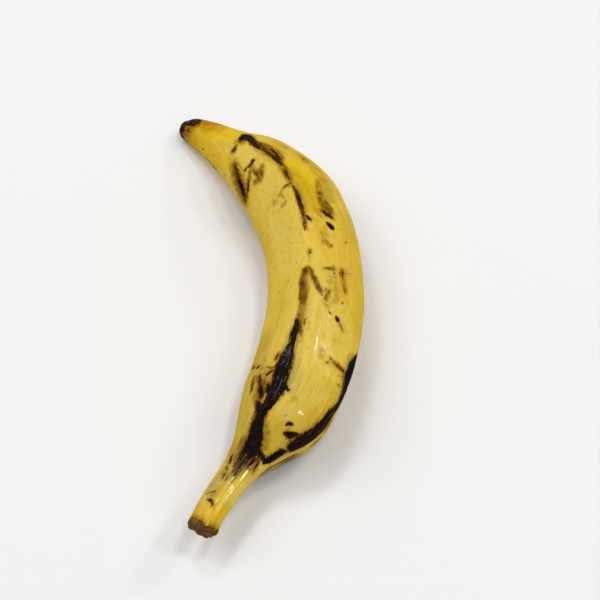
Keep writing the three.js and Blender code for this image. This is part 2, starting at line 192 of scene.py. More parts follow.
    ('M', [(167.5, 4.678, 0.51), (168.6, 4.639, 0.40)]),
    ('N', [(181.7, 4.957, 0.23), (185.2, 4.952, 0.45)]),
    ('N', [(182.6, 4.889, 0.29), (185.8, 4.875, 0.44)]),
    ('N', [(189.9, 4.885, 0.41), (191.8, 4.875, 0.43)]),
    ('O', [(177.7, 4.933, 1.25), (183.5, 4.928, 1.47), (189.2, 4.894, 0.90), (195.9, 4.851, 0.67)], 0.60, 0.91),
    ('D', [(161.2, 4.981, 1.19), (166.2, 4.957, 1.45), (171.1, 4.952, 1.25)], 0.80, 1.02),
    ('D', [(159.0, 4.846, 1.07), (163.3, 4.774, 1.01)], 0.40, 0.92),
    ('O', [(172.5, 4.909, 1.06), (179.5, 4.889, 1.09), (187.5, 4.851, 1.11)], 0.30, 1.31),
    ('O', [(150.9, 4.721, 0.35), (150.3, 4.668, 0.51), (149.8, 4.596, 0.72), (149.1, 4.519, 0.49)], 1.00, 0.52),
    ('M', [(150.6, 4.707, 0.40), (150.2, 4.659, 0.40), (149.7, 4.606, 0.36)]),
    ('O', [(148.1, 4.562, 0.50), (150.2, 4.558, 0.66), (152.1, 4.548, 0.41)], 0.80, 0.52),
    ('S', [(149.9, 4.558, 0.35)]),
    ('S', [(151.8, 4.548, 0.36)]),
    ('M', [(149.0, 4.442, 0.37), (148.4, 4.404, 0.75), (148.3, 4.370, 0.41)]),
    ('M', [(151.0, 4.452, 0.50), (150.5, 4.404, 0.75), (149.7, 4.346, 0.38)]),
    ('N', [(149.1, 4.409, 0.30), (150.7, 4.399, 0.55), (152.6, 4.389, 0.30)]),
    ('M', [(151.0, 4.423, 0.41), (152.8, 4.404, 0.70), (154.0, 4.385, 0.42), (154.7, 4.361, 0.30)]),
    ('M', [(156.2, 4.380, 0.51), (158.2, 4.361, 0.63), (160.5, 4.341, 0.53)]),
    ('O', [(150.2, 4.346, 0.38), (149.2, 4.260, 0.39)], 0.45, 0.47),
    ('O', [(151.9, 4.346, 0.25), (150.7, 4.269, 0.26)], 0.35, 0.42),
    ('O', [(148.4, 4.365, 0.25), (147.8, 4.298, 0.26)], 0.40, 0.47),
    ('O', [(151.2, 4.418, 0.95), (154.8, 4.385, 1.18), (159.4, 4.356, 1.08)], 0.62, 0.93),
    ('M', [(162.6, 4.663, 0.37), (163.5, 4.620, 0.52), (165.2, 4.654, 0.42)]),
    ('M', [(163.2, 4.625, 0.41), (161.9, 4.591, 0.23)]),
    ('M', [(166.7, 4.688, 0.40), (165.7, 4.659, 0.37)]),
    ('O', [(163.1, 4.668, 1.06), (164.9, 4.630, 1.25), (167.5, 4.654, 0.69)], 0.75, 0.82),
    ('O', [(157.5, 4.543, 0.61), (162.1, 4.505, 0.89), (164.9, 4.476, 0.83), (168.2, 4.529, 0.70)], 0.50, 1.03),
    ('O', [(164.3, 4.471, 0.41), (165.7, 4.452, 0.41)], 0.60, 0.51),
    ('O', [(171.0, 4.644, 0.59), (172.1, 4.606, 0.42)], 0.70, 0.61),
    ('O', [(169.7, 4.673, 1.13), (169.8, 4.606, 1.02)], 0.35, 1.02),
    ('O', [(154.9, 4.683, 0.24), (154.3, 4.577, 0.37), (153.2, 4.490, 0.37)], 0.55, 0.46),
    ('O', [(158.1, 4.683, 0.24), (157.4, 4.596, 0.25), (156.3, 4.490, 0.25)], 0.50, 0.46),
    ('O', [(151.1, 4.529, 0.34), (155.5, 4.510, 0.34), (159.8, 4.495, 0.21)], 0.50, 0.47),
    ('O', [(158.9, 4.611, 0.21), (158.3, 4.505, 0.29), (157.6, 4.423, 0.25)], 0.45, 0.46),
    ('O', [(160.6, 4.481, 0.25), (160.0, 4.423, 0.25)], 0.40, 0.46),
    ('O', [(161.9, 4.356, 0.38), (160.9, 4.279, 0.25)], 0.30, 0.46),
    ('O', [(152.5, 4.649, 0.63), (156.6, 4.611, 1.03), (160.5, 4.553, 1.02)], 0.22, 1.55),
    ('O', [(157.3, 4.471, 1.04), (162.4, 4.428, 1.03)], 0.25, 1.55),
    ('F', [(157.0, 4.519, 3.27), (162.9, 4.481, 2.59)], 0.35, 2.57),
    ('S', [(163.5, 4.505, 0.34)]),
    ('S', [(156.3, 4.606, 0.29)]),
    ('S', [(174.2, 4.582, 0.30), (174.7, 4.558, 0.60), (175.0, 4.538, 0.50)]),
    ('S', [(167.1, 4.375, 0.34), (165.9, 4.375, 0.35)]),
    ('S', [(175.5, 4.442, 0.77), (176.4, 4.423, 1.20), (177.4, 4.409, 0.72)]),
    ('D', [(176.5, 4.425, 1.06)], 0.45, 0.76),
    ('M', [(178.1, 4.370, 0.31), (179.7, 4.332, 0.31), (181.9, 4.293, 0.23)]),
    ('O', [(178.8, 4.346, 0.44), (181.4, 4.298, 0.45)], 0.50, 0.61),
    ('S', [(157.5, 0.260, 0.37)]),
    ('S', [(161.0, 0.490, 0.43)]),
    ('S', [(147.5, 0.115, 0.28)]),
    ('S', [(115.7, 0.712, 0.26)]),
    ('S', [(132.6, 0.204, 0.27)]),
    ('O', [(156.3, 0.288, 0.63)], 0.35, 0.72),
    ('O', [(140.4, 0.683, 0.53)], 0.25, 0.74),
    ('K', [(185.5, 4.962, 0.82), (188.1, 4.952, 1.23), (191.1, 4.947, 1.42), (194.1, 4.947, 1.40), (197.0, 4.938, 1.39), (200.0, 4.933, 1.56), (203.2, 4.933, 1.90), (206.1, 4.933, 2.25), (208.9, 4.942, 2.94), (211.2, 4.942, 3.55), (213.8, 4.947, 3.57), (216.2, 4.938, 3.76), (218.5, 4.933, 3.80), (220.7, 4.918, 3.81), (222.7, 4.913, 3.83), (225.0, 4.928, 3.31), (227.3, 4.942, 3.06), (229.7, 4.962, 2.61), (232.3, 4.990, 2.50), (235.1, 5.010, 2.82), (237.4, 5.005, 2.80), (239.7, 5.005, 3.06), (242.1, 5.000, 3.49), (244.8, 4.981, 3.65), (247.4, 4.957, 3.89), (250.1, 4.952, 3.98), (252.4, 4.913, 3.83)]),
    ('K', [(220.1, 4.832, 1.31), (220.2, 4.774, 0.61), (220.4, 4.755, 0.47)]),
    ('N', [(202.2, 4.904, 0.51), (205.5, 4.870, 0.62), (209.5, 4.846, 0.53), (213.3, 4.832, 0.35)]),
    ('N', [(204.9, 0.024, 0.55), (207.2, 0.019, 0.80), (210.0, 0.029, 0.81), (212.8, 0.048, 0.80), (215.9, 0.058, 0.68)]),
    ('M', [(201.6, 0.010, 0.42), (204.8, 0.014, 0.58), (208.9, 0.029, 0.80)]),
    ('N', [(230.8, 0.207, 0.99), (233.1, 0.159, 0.96), (236.0, 0.154, 0.76), (239.2, 0.154, 0.70), (243.7, 0.183, 0.59), (248.2, 0.202, 0.68), (252.2, 0.226, 0.65)]),
    ('D', [(194.0, 4.957, 1.79), (207.2, 4.942, 2.92), (218.4, 4.923, 4.17), (230.0, 5.010, 2.94), (239.5, 5.038, 3.58), (251.5, 5.091, 4.86)], 0.40, 1.49),
    ('L', [(204.1, 4.966, 0.19), (202.4, 4.942, 0.13), (201.0, 4.909, 0.22)], 0.75, 0.35),
    ('L', [(204.8, 4.933, 0.09), (203.3, 4.904, 0.11)], 0.60, 0.30),
    ('L', [(207.0, 4.942, 0.12), (205.3, 4.918, 0.26)], 0.40, 0.30),
    ('R', [(200.1, 4.947, 1.36), (208.9, 4.933, 2.53), (215.3, 4.928, 3.20), (220.4, 4.942, 4.07), (226.5, 5.000, 3.40), (239.5, 5.029, 2.57), (248.1, 5.029, 3.55)], 1.00, 1.98),
    ('M', [(205.1, 0.082, 0.58), (206.9, 0.087, 1.16), (208.6, 0.096, 0.80)]),
    ('N', [(206.4, 0.077, 0.42), (207.9, 0.082, 0.55)]),
    ('S', [(212.5, 4.990, 0.37), (213.2, 5.029, 0.51)]),
    ('S', [(213.0, 0.082, 0.40), (213.6, 0.125, 0.59)]),
    ('S', [(213.3, 0.178, 0.46), (212.2, 0.260, 0.22)]),
    ('S', [(212.0, 0.029, 0.35), (210.2, 0.029, 0.38)]),
    ('S', [(206.5, 0.377, 0.48)]),
    ('S', [(209.4, 0.519, 0.78), (209.9, 0.577, 0.80)]),
    ('S', [(207.6, 0.692, 0.72), (207.1, 0.788, 0.72)]),
    ('S', [(204.8, 0.788, 0.73)]),
    ('S', [(212.4, 0.389, 0.47)]),
    ('S', [(217.1, 0.183, 0.76), (215.9, 0.135, 0.85), (214.8, 0.072, 0.41)]),
    ('O', [(205.4, 0.779, 0.79), (212.0, 0.380, 0.82), (214.4, 0.101, 0.85)], 0.45, 0.91),
    ('M', [(217.6, 0.591, 0.82), (221.5, 0.572, 1.89), (225.0, 0.543, 1.78), (227.2, 0.538, 0.79)]),
    ('D', [(222.8, 0.570, 1.34)], 0.50, 0.90),
    ('M', [(217.4, 0.380, 1.05), (220.6, 0.312, 1.35), (223.9, 0.264, 1.63)]),
    ('N', [(219.7, 0.337, 0.61), (222.8, 0.284, 1.04), (225.5, 0.260, 1.16)]),
    ('M', [(219.6, 0.231, 0.63), (222.6, 0.154, 0.64), (224.5, 0.135, 0.63)]),
    ('M', [(221.3, 0.101, 0.50), (223.2, 0.077, 0.64)]),
    ('N', [(216.5, 0.423, 0.61), (219.6, 0.346, 1.19), (222.6, 0.284, 1.64), (224.9, 0.231, 2.09), (227.0, 0.159, 1.96), (228.8, 0.130, 1.02)]),
    ('K', [(223.6, 0.264, 0.75), (225.7, 0.192, 1.54), (227.5, 0.139, 1.11)]),
    ('K', [(222.1, 0.091, 0.54), (223.6, 0.053, 0.87), (225.0, 0.010, 1.34), (226.5, -0.034, 1.43)]),
    ('N', [(223.9, 0.144, 0.67), (225.2, 0.091, 1.14)]),
    ('L', [(226.2, 0.058, 0.31), (228.0, 0.062, 0.47), (229.8, 0.062, 0.46)], 1.80, 0.49),
    ('M', [(228.5, 0.192, 0.86), (230.5, 0.188, 1.54), (232.7, 0.163, 1.10)]),
    ('K', [(230.3, 0.130, 0.73), (231.8, 0.120, 1.60), (233.5, 0.087, 1.69), (235.1, 0.048, 1.13)]),
    ('D', [(224.2, 0.202, 3.68), (229.9, 0.207, 2.36)], 0.55, 1.28),
    ('O', [(220.4, 0.264, 4.24), (228.2, 0.255, 2.94)], 0.85, 1.28),
    ('M', [(216.7, 0.524, 0.46), (220.5, 0.442, 0.57)]),
    ('D', [(237.4, 4.841, 1.07), (240.2, 4.740, 1.49), (243.8, 4.639, 1.38), (247.2, 4.558, 1.21)], 0.58, 1.36),
    ('P', [(231.6, 4.913, 0.72), (235.2, 4.928, 0.76), (237.9, 4.889, 0.76)], 1.40, 0.88),
    ('V', [(236.0, 4.918, 0.65), (238.4, 4.856, 0.61)], 0.50, 0.68),
    ('O', [(217.9, 0.062, 1.22), (221.3, 0.072, 1.47)], 0.60, 0.98),
    ('N', [(219.3, 0.053, 0.50), (221.7, 0.053, 0.50)]),
    ('S', [(231.8, 4.423, 0.52), (231.1, 4.404, 0.88), (230.7, 4.385, 1.01), (230.4, 4.337, 0.79), (230.4, 4.308, 0.39)]),
    ('S', [(235.4, 4.346, 0.49), (235.0, 4.293, 1.27), (234.5, 4.221, 1.85), (233.5, 4.168, 1.78), (232.6, 4.125, 1.44), (231.8, 4.096, 0.53)]),
    ('M', [(236.5, 4.212, 0.46), (236.0, 4.139, 0.53), (235.0, 4.111, 0.39)]),
    ('M', [(233.5, 4.337, 0.25), (232.7, 4.317, 0.23)]),
    ('D', [(230.7, 4.380, 0.89)], 0.50, 0.63),
    ('D', [(235.1, 4.274, 1.27), (232.9, 4.139, 1.27)], 0.55, 0.78),
    ('S', [(229.1, 4.531, 0.27)]),
    ('O', [(229.0, 4.534, 0.50)], 0.30, 0.73),
    ('G', [(222.1, 4.582, 0.75)], 0.60, 1.17),
    ('G', [(223.5, 4.599, 0.38)], 0.40, 0.78),
    ('G', [(220.7, 4.702, 0.48)], 0.30, 1.46),
    ('G', [(196.1, 4.531, 0.60)], 0.50, 1.00),
    ('G', [(188.3, 4.389, 0.54)], 0.40, 1.01),
    ('M', [(198.7, 4.361, 0.66), (199.7, 4.317, 0.75), (200.5, 4.250, 1.11), (201.3, 4.197, 1.12), (202.3, 4.135, 1.24), (203.2, 4.067, 1.04)]),
    ('N', [(200.7, 4.260, 0.50), (201.7, 4.178, 0.64), (202.6, 4.120, 0.59)]),
    ('M', [(202.5, 4.389, 0.25), (201.1, 4.370, 0.29)]),
    ('O', [(202.1, 4.385, 0.64), (201.0, 4.226, 1.36), (202.8, 4.101, 1.14)], 0.45, 0.99),
    ('O', [(196.5, 4.519, 0.45), (200.0, 4.500, 0.72)], 0.50, 0.90),
    ('M', [(206.3, 4.144, 0.18), (205.6, 4.096, 0.41), (205.3, 4.038, 0.27)]),
    ('M', [(209.8, 4.115, 0.19), (209.8, 4.058, 0.56), (209.9, 3.995, 0.45)]),
    ('K', [(188.3, 3.957, 0.58), (192.4, 3.986, 2.16), (197.1, 3.990, 3.24), (202.1, 3.976, 3.70), (206.7, 3.957, 3.57), (209.5, 3.928, 3.12)]),
    ('N', [(196.3, 4.024, 1.50), (203.1, 4.038, 1.24), (208.2, 4.014, 1.10), (210.7, 3.981, 1.29)]),
    ('D', [(194.6, 4.029, 3.90), (203.9, 3.986, 4.19), (210.5, 3.990, 2.44)], 0.45, 1.31),
    ('K', [(209.7, 3.928, 3.03), (212.1, 3.904, 3.24), (214.4, 3.875, 3.47), (216.3, 3.856, 3.21), (218.4, 3.870, 2.94)]),
    ('L', [(213.5, 3.885, 0.19), (216.3, 3.909, 0.18)], 1.30, 0.37),
    ('N', [(212.7, 3.981, 0.72), (215.4, 3.971, 0.72), (217.9, 3.971, 0.73)]),
    ('K', [(218.8, 3.913, 3.00), (220.1, 3.894, 4.34), (222.0, 3.861, 5.10), (224.0, 3.822, 5.86), (226.6, 3.808, 6.61), (229.1, 3.817, 6.86), (231.3, 3.851, 6.38), (233.7, 3.865, 5.97), (236.0, 3.894, 5.02), (237.5, 3.971, 2.70)]),
    ('L', [(217.3, 3.894, 0.26), (219.8, 3.894, 0.32), (222.3, 3.885, 0.26)], 1.55, 0.37),
    ('L', [(228.4, 3.971, 0.19), (231.1, 3.986, 0.17), (234.3, 4.005, 0.11)], 1.35, 0.37),
    ('L', [(222.7, 3.769, 0.26), (225.4, 3.764, 0.26), (227.8, 3.788, 0.19)], 1.10, 0.37),
    ('N', [(219.7, 3.745, 0.90), (221.5, 3.601, 1.42), (224.6, 3.591, 1.55), (228.1, 3.596, 1.42), (231.3, 3.659, 1.41), (235.2, 3.736, 1.28)]),
    ('N', [(223.5, 4.000, 0.32), (226.0, 4.005, 0.45), (228.5, 4.019, 0.26)]),
    ('N', [(228.9, 4.014, 0.40), (231.2, 4.024, 0.38), (233.6, 4.043, 0.34)]),
    ('M', [(219.0, 3.510, 1.04), (220.8, 3.442, 1.44), (222.7, 3.423, 1.04)]),
    ('O', [(219.8, 3.707, 1.55), (222.4, 3.582, 1.94)], 0.70, 0.79),
    ('N', [(226.5, 3.274, 0.65), (228.5, 3.293, 0.91), (230.5, 3.293, 0.65)]),
    ('M', [(227.3, 3.178, 0.20), (229.1, 3.188, 0.24)]),
    ('T', [(218.1, 3.899, 2.56), (222.1, 3.928, 2.06), (225.5, 3.904, 2.19)], 0.55, 0.98),
    ('T', [(219.6, 3.543, 1.96), (223.9, 3.466, 1.95), (229.5, 3.500, 1.94), (234.1, 3.673, 1.28)], 0.80, 0.80),
    ('T', [(213.7, 3.928, 3.21), (208.5, 3.947, 2.98)], 0.60, 1.19),
    ('D', [(222.2, 3.957, 2.60), (229.1, 3.933, 4.08), (236.4, 3.894, 4.43)], 0.35, 1.17),
    ('R', [(221.5, 3.976, 1.91), (228.1, 3.971, 2.53), (234.3, 3.986, 2.61)], 0.80, 1.47),
    ('K', [(242.0, 4.010, 1.13), (243.4, 4.029, 1.65), (245.5, 4.034, 1.92), (248.3, 4.034, 2.03), (250.9, 4.038, 1.82), (252.6, 4.120, 1.45), (252.5, 4.317, 1.23), (251.8, 4.514, 1.26), (250.7, 4.649, 0.98)]),
    ('D', [(242.8, 3.986, 1.97), (251.5, 4.091, 1.38)], 0.35, 0.98),
    ('R', [(244.4, 4.024, 1.24), (251.7, 4.101, 1.08)], 0.60, 0.98),
    ('N', [(250.9, 0.269, 0.73), (254.3, 0.274, 0.73), (257.2, 0.269, 0.51), (259.1, 0.269, 0.35), (260.6, 0.288, 0.16)]),
    ('K', [(251.7, 0.212, 0.74), (256.3, 0.202, 0.66), (260.4, 0.212, 0.48), (263.4, 0.212, 0.36), (265.5, 0.221, 0.16)]),
    ('N', [(250.5, 0.159, 0.56), (254.5, 0.154, 0.55), (257.8, 0.135, 0.38), (260.3, 0.139, 0.30), (262.0, 0.139, 0.12)]),
    ('K', [(251.3, 0.111, 0.72), (257.1, 0.082, 0.59), (262.4, 0.072, 0.53), (266.2, 0.087, 0.26), (268.6, 0.096, 0.22)]),
    ('K', [(250.3, 0.067, 0.49), (254.9, 0.043, 0.49), (258.9, 0.024, 0.31), (261.9, 0.019, 0.24), (264.0, 0.029, 0.11)]),
    ('K', [(249.2, 0.029, 0.53), (256.0, -0.019, 0.46), (262.0, -0.053, 0.42), (266.5, -0.038, 0.26), (269.4, -0.029, 0.26)]),
    ('K', [(249.8, 4.986, 0.49), (254.0, 4.952, 0.45), (257.4, 4.909, 0.36), (259.8, 4.894, 0.22), (261.7, 4.894, 0.13)]),
    ('K', [(248.7, 4.952, 0.41), (254.5, 4.894, 0.35), (259.3, 4.832, 0.35), (263.1, 4.827, 0.20), (265.6, 4.837, 0.11)]),
    ('K', [(249.2, 4.899, 0.48), (252.8, 4.856, 0.52), (255.8, 4.822, 0.33), (257.8, 4.788, 0.22), (259.0, 4.788, 0.14)]),
    ('N', [(248.1, 4.870, 0.50), (253.0, 4.798, 0.51), (257.3, 4.755, 0.33), (260.2, 4.716, 0.24), (262.6, 4.712, 0.18)]),
    ('K', [(248.7, 4.817, 0.47), (251.8, 4.774, 0.46), (255.0, 4.726, 0.40), (257.0, 4.683, 0.31), (258.1, 4.659, 0.17)]),
    ('K', [(247.5, 4.798, 0.60), (252.0, 4.721, 0.55), (256.4, 4.620, 0.48), (259.0, 4.582, 0.34), (261.3, 4.572, 0.18)]),
    ('N', [(246.5, 4.764, 0.52), (250.5, 4.697, 0.59), (254.5, 4.601, 0.40), (257.0, 4.514, 0.26), (258.7, 4.510, 0.19)]),
    ('M', [(246.9, 4.721, 0.44), (251.7, 4.611, 0.57), (256.3, 4.481, 0.41), (259.6, 4.452, 0.28), (262.1, 4.438, 0.13)]),
    ('K', [(249.0, 4.856, 1.72), (252.6, 4.865, 1.41), (256.4, 4.889, 1.00), (258.7, 4.918, 0.45)]),
    ('K', [(251.1, 4.707, 0.93), (254.9, 4.668, 0.82), (257.4, 4.635, 0.40)]),
    ('N', [(257.2, 4.798, 0.31), (260.4, 4.788, 0.31), (263.4, 4.808, 0.22)]),
    ('N', [(253.9, 4.438, 0.42), (256.5, 4.341, 0.67), (259.0, 4.298, 0.49), (261.0, 4.269, 0.28)]),
    ('E', [(251.5, 0.370, 2.84), (254.7, 0.168, 4.38), (258.9, 0.063, 3.85), (263.5, -0.053, 2.51), (268.0, -0.072, 1.38), (272.4, -0.058, 0.65)], 0.90, 1.28),
    ('D', [(251.2, 0.433, 1.24), (254.7, 0.452, 1.60), (257.9, 0.380, 1.79), (261.2, 0.279, 1.34), (264.2, 0.226, 0.71)], 0.60, 1.08),
    ('D', [(250.5, 4.909, 3.27), (255.9, 4.841, 2.73), (259.4, 4.721, 1.99)], 0.80, 1.17),
    ('T', [(252.5, 4.933, 3.77), (257.4, 4.918, 3.88), (263.7, 4.894, 3.01)], 0.42, 1.47),
    ('O', [(256.4, 4.312, 0.70), (259.0, 4.264, 0.74), (262.6, 4.245, 0.59)], 0.60, 0.98),
    ('G', [(261.0, 4.236, 1.00), (265.6, 4.197, 1.02)], 0.30, 1.47),
    ('V', [(257.3, 0.418, 1.13), (262.4, 0.471, 2.27), (267.3, 0.476, 2.54), (273.6, 0.519, 2.80), (280.4, 0.582, 2.63)], 0.95, 1.97),
    ('Y', [(269.5, 4.558, 2.01), (275.0, 4.548, 2.29), (280.4, 4.548, 2.57), (288.8, 4.558, 3.06)], 0.80, 2.43),
    ('N', [(260.2, 0.692, 0.59), (262.4, 0.625, 1.05), (264.4, 0.567, 0.70)]),
    ('N', [(266.4, 0.577, 0.33), (268.1, 0.534, 0.34)]),
    ('O', [(268.1, 0.577, 0.68), (271.6, 0.510, 1.03)], 0.70, 0.88),
    ('S', [(283.0, 0.707, 0.44)]),
    ('S', [(281.9, 0.550, 0.59)]),
    ('S', [(281.1, 0.438, 0.42)]),
    ('S', [(283.6, 0.541, 0.35)]),
    ('S', [(283.9, 0.772, 0.34)]),
    ('N', [(285.7, 0.572, 0.61), (286.1, 0.361, 0.99), (287.0, 0.159, 0.78), (288.9, 0.091, 0.34)]),
    ('M', [(270.9, 0.486, 0.33), (273.9, 0.433, 0.28)]),
    ('M', [(270.4, 0.245, 0.25), (273.9, 0.192, 0.20)]),
    ('D', [(283.1, 0.320, 0.83)], 0.30, 1.45),
    # olive darkening on the lower inner face toward the neck: partly olive stain, partly painted shade
    ('E', [(193.1, 0.683, 5.30), (212.3, 0.577, 6.51), (231.5, 0.663, 6.36), (244.1, 0.731, 4.02), (254.2, 0.712, 2.61)], 0.32, 3.57),
    ('E', [(216.9, 4.625, 3.55), (219.7, 4.337, 4.13), (226.6, 4.202, 3.85), (236.1, 4.149, 3.05)], 0.15, 4.88),
    ('E', [(214.7, 4.216, 2.85), (218.4, 4.014, 2.55)], 0.20, 3.92),
    ('E', [(73.4, 4.611, 2.85), (80.2, 4.284, 2.86)], 0.12, 3.29),
    ('D', [(252.0, 0.952, 0.45), (257.2, 0.885, 1.04), (263.1, 0.764, 0.83)], 0.30, 1.49),
    # P cream strokes: some are the peel's paler tone, some painted sheen and painted light. This one, left of ridge A:
    # partly paler peel, partly painted sheen
    ('P', [(60.3, 0.308, 3.91), (78.6, 0.231, 4.79), (98.7, 0.288, 6.96), (123.5, 0.356, 7.07), (144.5, 0.255, 5.72)], 0.90, 5.50),
    ('P', [(116.3, 0.745, 3.77), (154.4, 0.760, 5.45), (184.2, 0.620, 5.32)], 0.35, 3.75),
    # paler cream right of ridge A: partly the peel's tone, partly painted sheen
    ('P', [(111.7, 4.962, 1.45), (134.8, 4.971, 1.91), (155.8, 4.803, 5.79), (175.9, 4.736, 6.61), (196.1, 4.683, 6.26), (214.7, 4.630, 5.46), (225.3, 4.591, 3.83)], 0.75, 5.27),
    ('P', [(137.6, 4.433, 3.43), (164.6, 4.337, 3.16)], 0.30, 4.19),
    ('P', [(222.8, 0.572, 3.63), (236.2, 0.553, 4.55), (246.3, 0.644, 3.99)], 0.35, 2.99),
    # paler cream right of ridge A: partly the peel's tone, partly painted sheen
    ('P', [(172.3, 4.885, 1.72), (188.4, 4.832, 2.34), (200.8, 4.779, 2.35), (212.0, 4.707, 2.85), (220.5, 4.649, 3.03), (228.5, 4.611, 2.19)], 1.00, 3.54),
    # painted light: brightens the right underside of the neck and stem
    ('P', [(256.4, 4.029, 2.12), (262.1, 3.649, 4.48), (271.3, 3.966, 1.75), (278.8, 3.957, 1.74)], 1.70, 1.96),
    ('P', [(264.2, 0.808, 2.04), (271.8, 0.769, 2.52), (278.0, 0.779, 2.51), (283.9, 0.793, 2.42)], 0.90, 1.97),
    ('P', [(271.8, 4.514, 2.00), (279.1, 4.505, 2.56)], 0.75, 1.94),
    ('P', [(263.1, 0.495, 1.79), (268.5, 0.462, 2.10), (274.6, 0.394, 1.91)], 0.70, 1.47),
    ('V', [(255.0, 0.135, 2.46), (259.9, 0.063, 2.42), (265.6, 0.024, 1.82)], 0.35, 1.47),
    ('P', [(240.6, 4.425, 2.42)], 0.35, 2.92),
    ('O', [(230.3, 4.591, 2.23), (234.7, 4.572, 1.77)], 0.16, 3.40),
    # painted light: table bounce along the lower outer edge of the bulb
    ('P', [(248.2, 3.659, 1.93), (242.0, 3.476, 2.59), (236.1, 3.438, 2.59), (230.1, 3.404, 1.95)], 0.90, 1.48),
    ('P', [(177.4, 4.534, 3.03), (192.4, 4.452, 2.81), (207.4, 4.413, 2.61), (218.5, 4.370, 2.51)], 0.75, 3.54),
    # paler cream just right of the long bruise: partly the peel's tone, partly painted sheen
    ('P', [(191.1, 4.894, 0.84), (199.3, 4.875, 0.79), (207.9, 4.837, 1.11), (214.5, 4.808, 1.10), (221.4, 4.788, 1.51)], 1.30, 1.49),
    # paler cream just left of ridge A: partly the peel's tone, partly painted sheen
    ('P', [(154.7, 0.149, 3.55), (172.3, 0.087, 3.73), (185.5, 0.120, 4.82), (197.0, 0.144, 3.87), (202.3, 0.192, 3.25)], 0.66, 3.08),
    ('P', [(200.1, 0.385, 5.22), (209.3, 0.423, 4.54)], 0.40, 2.51),
    ('P', [(171.1, 4.332, 2.56), (182.6, 4.236, 2.44), (199.0, 4.139, 2.25)], 0.60, 2.55),
    ('P', [(227.2, 4.822, 2.07), (230.8, 4.519, 2.70), (229.7, 4.192, 2.80)], 0.36, 3.40),
    # painted light: brightens the left edge toward the blossom end
    ('P', [(88.7, 0.678, 2.90), (96.2, 0.769, 3.19), (112.4, 0.812, 4.65)], 0.40, 3.78),
    ('P', [(129.0, 4.486, 2.96), (143.0, 4.659, 2.85)], 0.35, 3.69),
    ('E', [(117.1, 4.149, 3.72), (126.7, 4.125, 4.05)], 0.16, 2.68),
    ('E', [(199.9, 4.865, 0.89), (209.4, 4.808, 1.55), (215.2, 4.736, 1.55), (218.3, 4.692, 1.29)], 0.36, 1.98),
    ('E', [(98.8, 4.250, 2.67), (106.9, 4.361, 2.37)], 0.42, 2.17),
    ('V', [(208.4, 4.798, 0.73), (214.4, 4.736, 0.92)], 0.30, 1.97),
    ('Y', [(38.2, 1.389, 3.41), (52.2, 0.832, 2.16), (61.4, 0.606, 2.48), (68.4, 0.438, 2.29)], 0.60, 2.82),
    ('Y', [(74.0, 0.327, 2.40), (78.0, 0.385, 2.37)], 0.50, 2.17),
    ('Y', [(91.4, 4.322, 3.36), (97.7, 4.409, 2.65)], 0.55, 2.18),
    ('Y', [(91.7, 4.798, 2.37), (98.2, 4.870, 1.63)], 0.50, 2.15),
    ('Y', [(110.9, 4.904, 1.59)], 0.50, 1.58),
    ('Y', [(101.4, 4.865, 2.30), (104.8, 4.769, 3.07), (108.5, 4.683, 2.55), (112.7, 4.697, 1.90)], 0.70, 2.13),
    ('O', [(97.6, 4.880, 0.96), (101.3, 4.885, 1.13)], 0.35, 1.28),
    ('O', [(102.9, 4.341, 1.40), (108.2, 4.447, 1.35)], 0.22, 1.62),
    ('F', [(196.9, 0.740, 3.98), (213.0, 0.567, 5.34), (226.0, 0.149, 2.09)], 0.35, 2.55),
    ('F', [(251.1, 0.567, 1.65), (259.5, 0.562, 1.49)], 0.20, 1.98),
    ('F', [(131.5, 4.404, 1.98)], 0.12, 3.16),
    ('F', [(73.1, 4.805, 3.60)], 0.10, 4.36),
    ('H', [(187.3, 4.683, 0.77), (191.4, 4.663, 1.47), (196.0, 4.644, 1.45), (199.9, 4.615, 0.69)], 1.00, 0.80),
    ('H', [(203.4, 4.582, 0.86), (205.6, 4.572, 0.51)], 0.90, 0.59),
    ('H', [(179.9, 4.692, 0.39), (184.3, 4.668, 0.60)], 0.62, 0.81),
    ('H', [(191.1, 4.572, 0.64), (195.0, 4.505, 0.64), (199.4, 4.466, 0.52)], 1.00, 0.65),
    ('H', [(203.1, 4.466, 0.47), (205.4, 4.476, 0.48)], 0.95, 0.59),
    ('H', [(224.2, 4.370, 0.40), (226.0, 4.375, 0.52)], 1.70, 0.44),
    ('H', [(228.0, 4.356, 0.29)], 1.70, 0.39),
    ('H', [(228.4, 4.257, 0.33)], 1.50, 0.34),
    ('H', [(225.4, 4.308, 0.27)], 1.50, 0.34),
    ('H', [(201.8, 4.938, 0.98), (207.5, 4.947, 1.69), (212.0, 4.938, 1.93), (216.8, 4.928, 2.12)], 1.50, 0.99),
    ('H', [(220.4, 4.923, 2.21), (225.1, 4.942, 1.72), (229.1, 4.981, 1.35)], 1.00, 0.97),
    ('H', [(257.1, 4.490, 0.29), (260.3, 4.510, 0.27), (264.0, 4.514, 0.30), (267.0, 4.510, 0.24), (269.3, 4.486, 0.20)], 2.00, 0.24),
    ('H', [(260.5, 4.808, 0.20), (264.3, 4.851, 0.24), (266.5, 4.909, 0.65), (271.0, 4.952, 0.22), (274.8, 5.010, 0.19)], 2.00, 0.27),
    ('H', [(258.7, 4.841, 0.25), (262.9, 4.923, 0.20)], 1.80, 0.24),
    ('H', [(273.3, 0.351, 0.19), (277.4, 0.375, 0.31)], 1.60, 0.24),
    ('H', [(275.1, 4.755, 0.63), (275.8, 4.510, 0.91), (278.1, 4.457, 0.77), (281.8, 4.462, 0.71)], 2.00, 0.48),
    ('H', [(272.1, 4.250, 0.27), (274.7, 4.409, 0.37)], 2.00, 0.39),
    ('H', [(250.5, 4.452, 0.51), (251.1, 4.269, 0.40)], 1.00, 0.39),
    ('H', [(281.5, 4.692, 2.35), (289.2, 4.620, 3.03)], 0.80, 1.93),
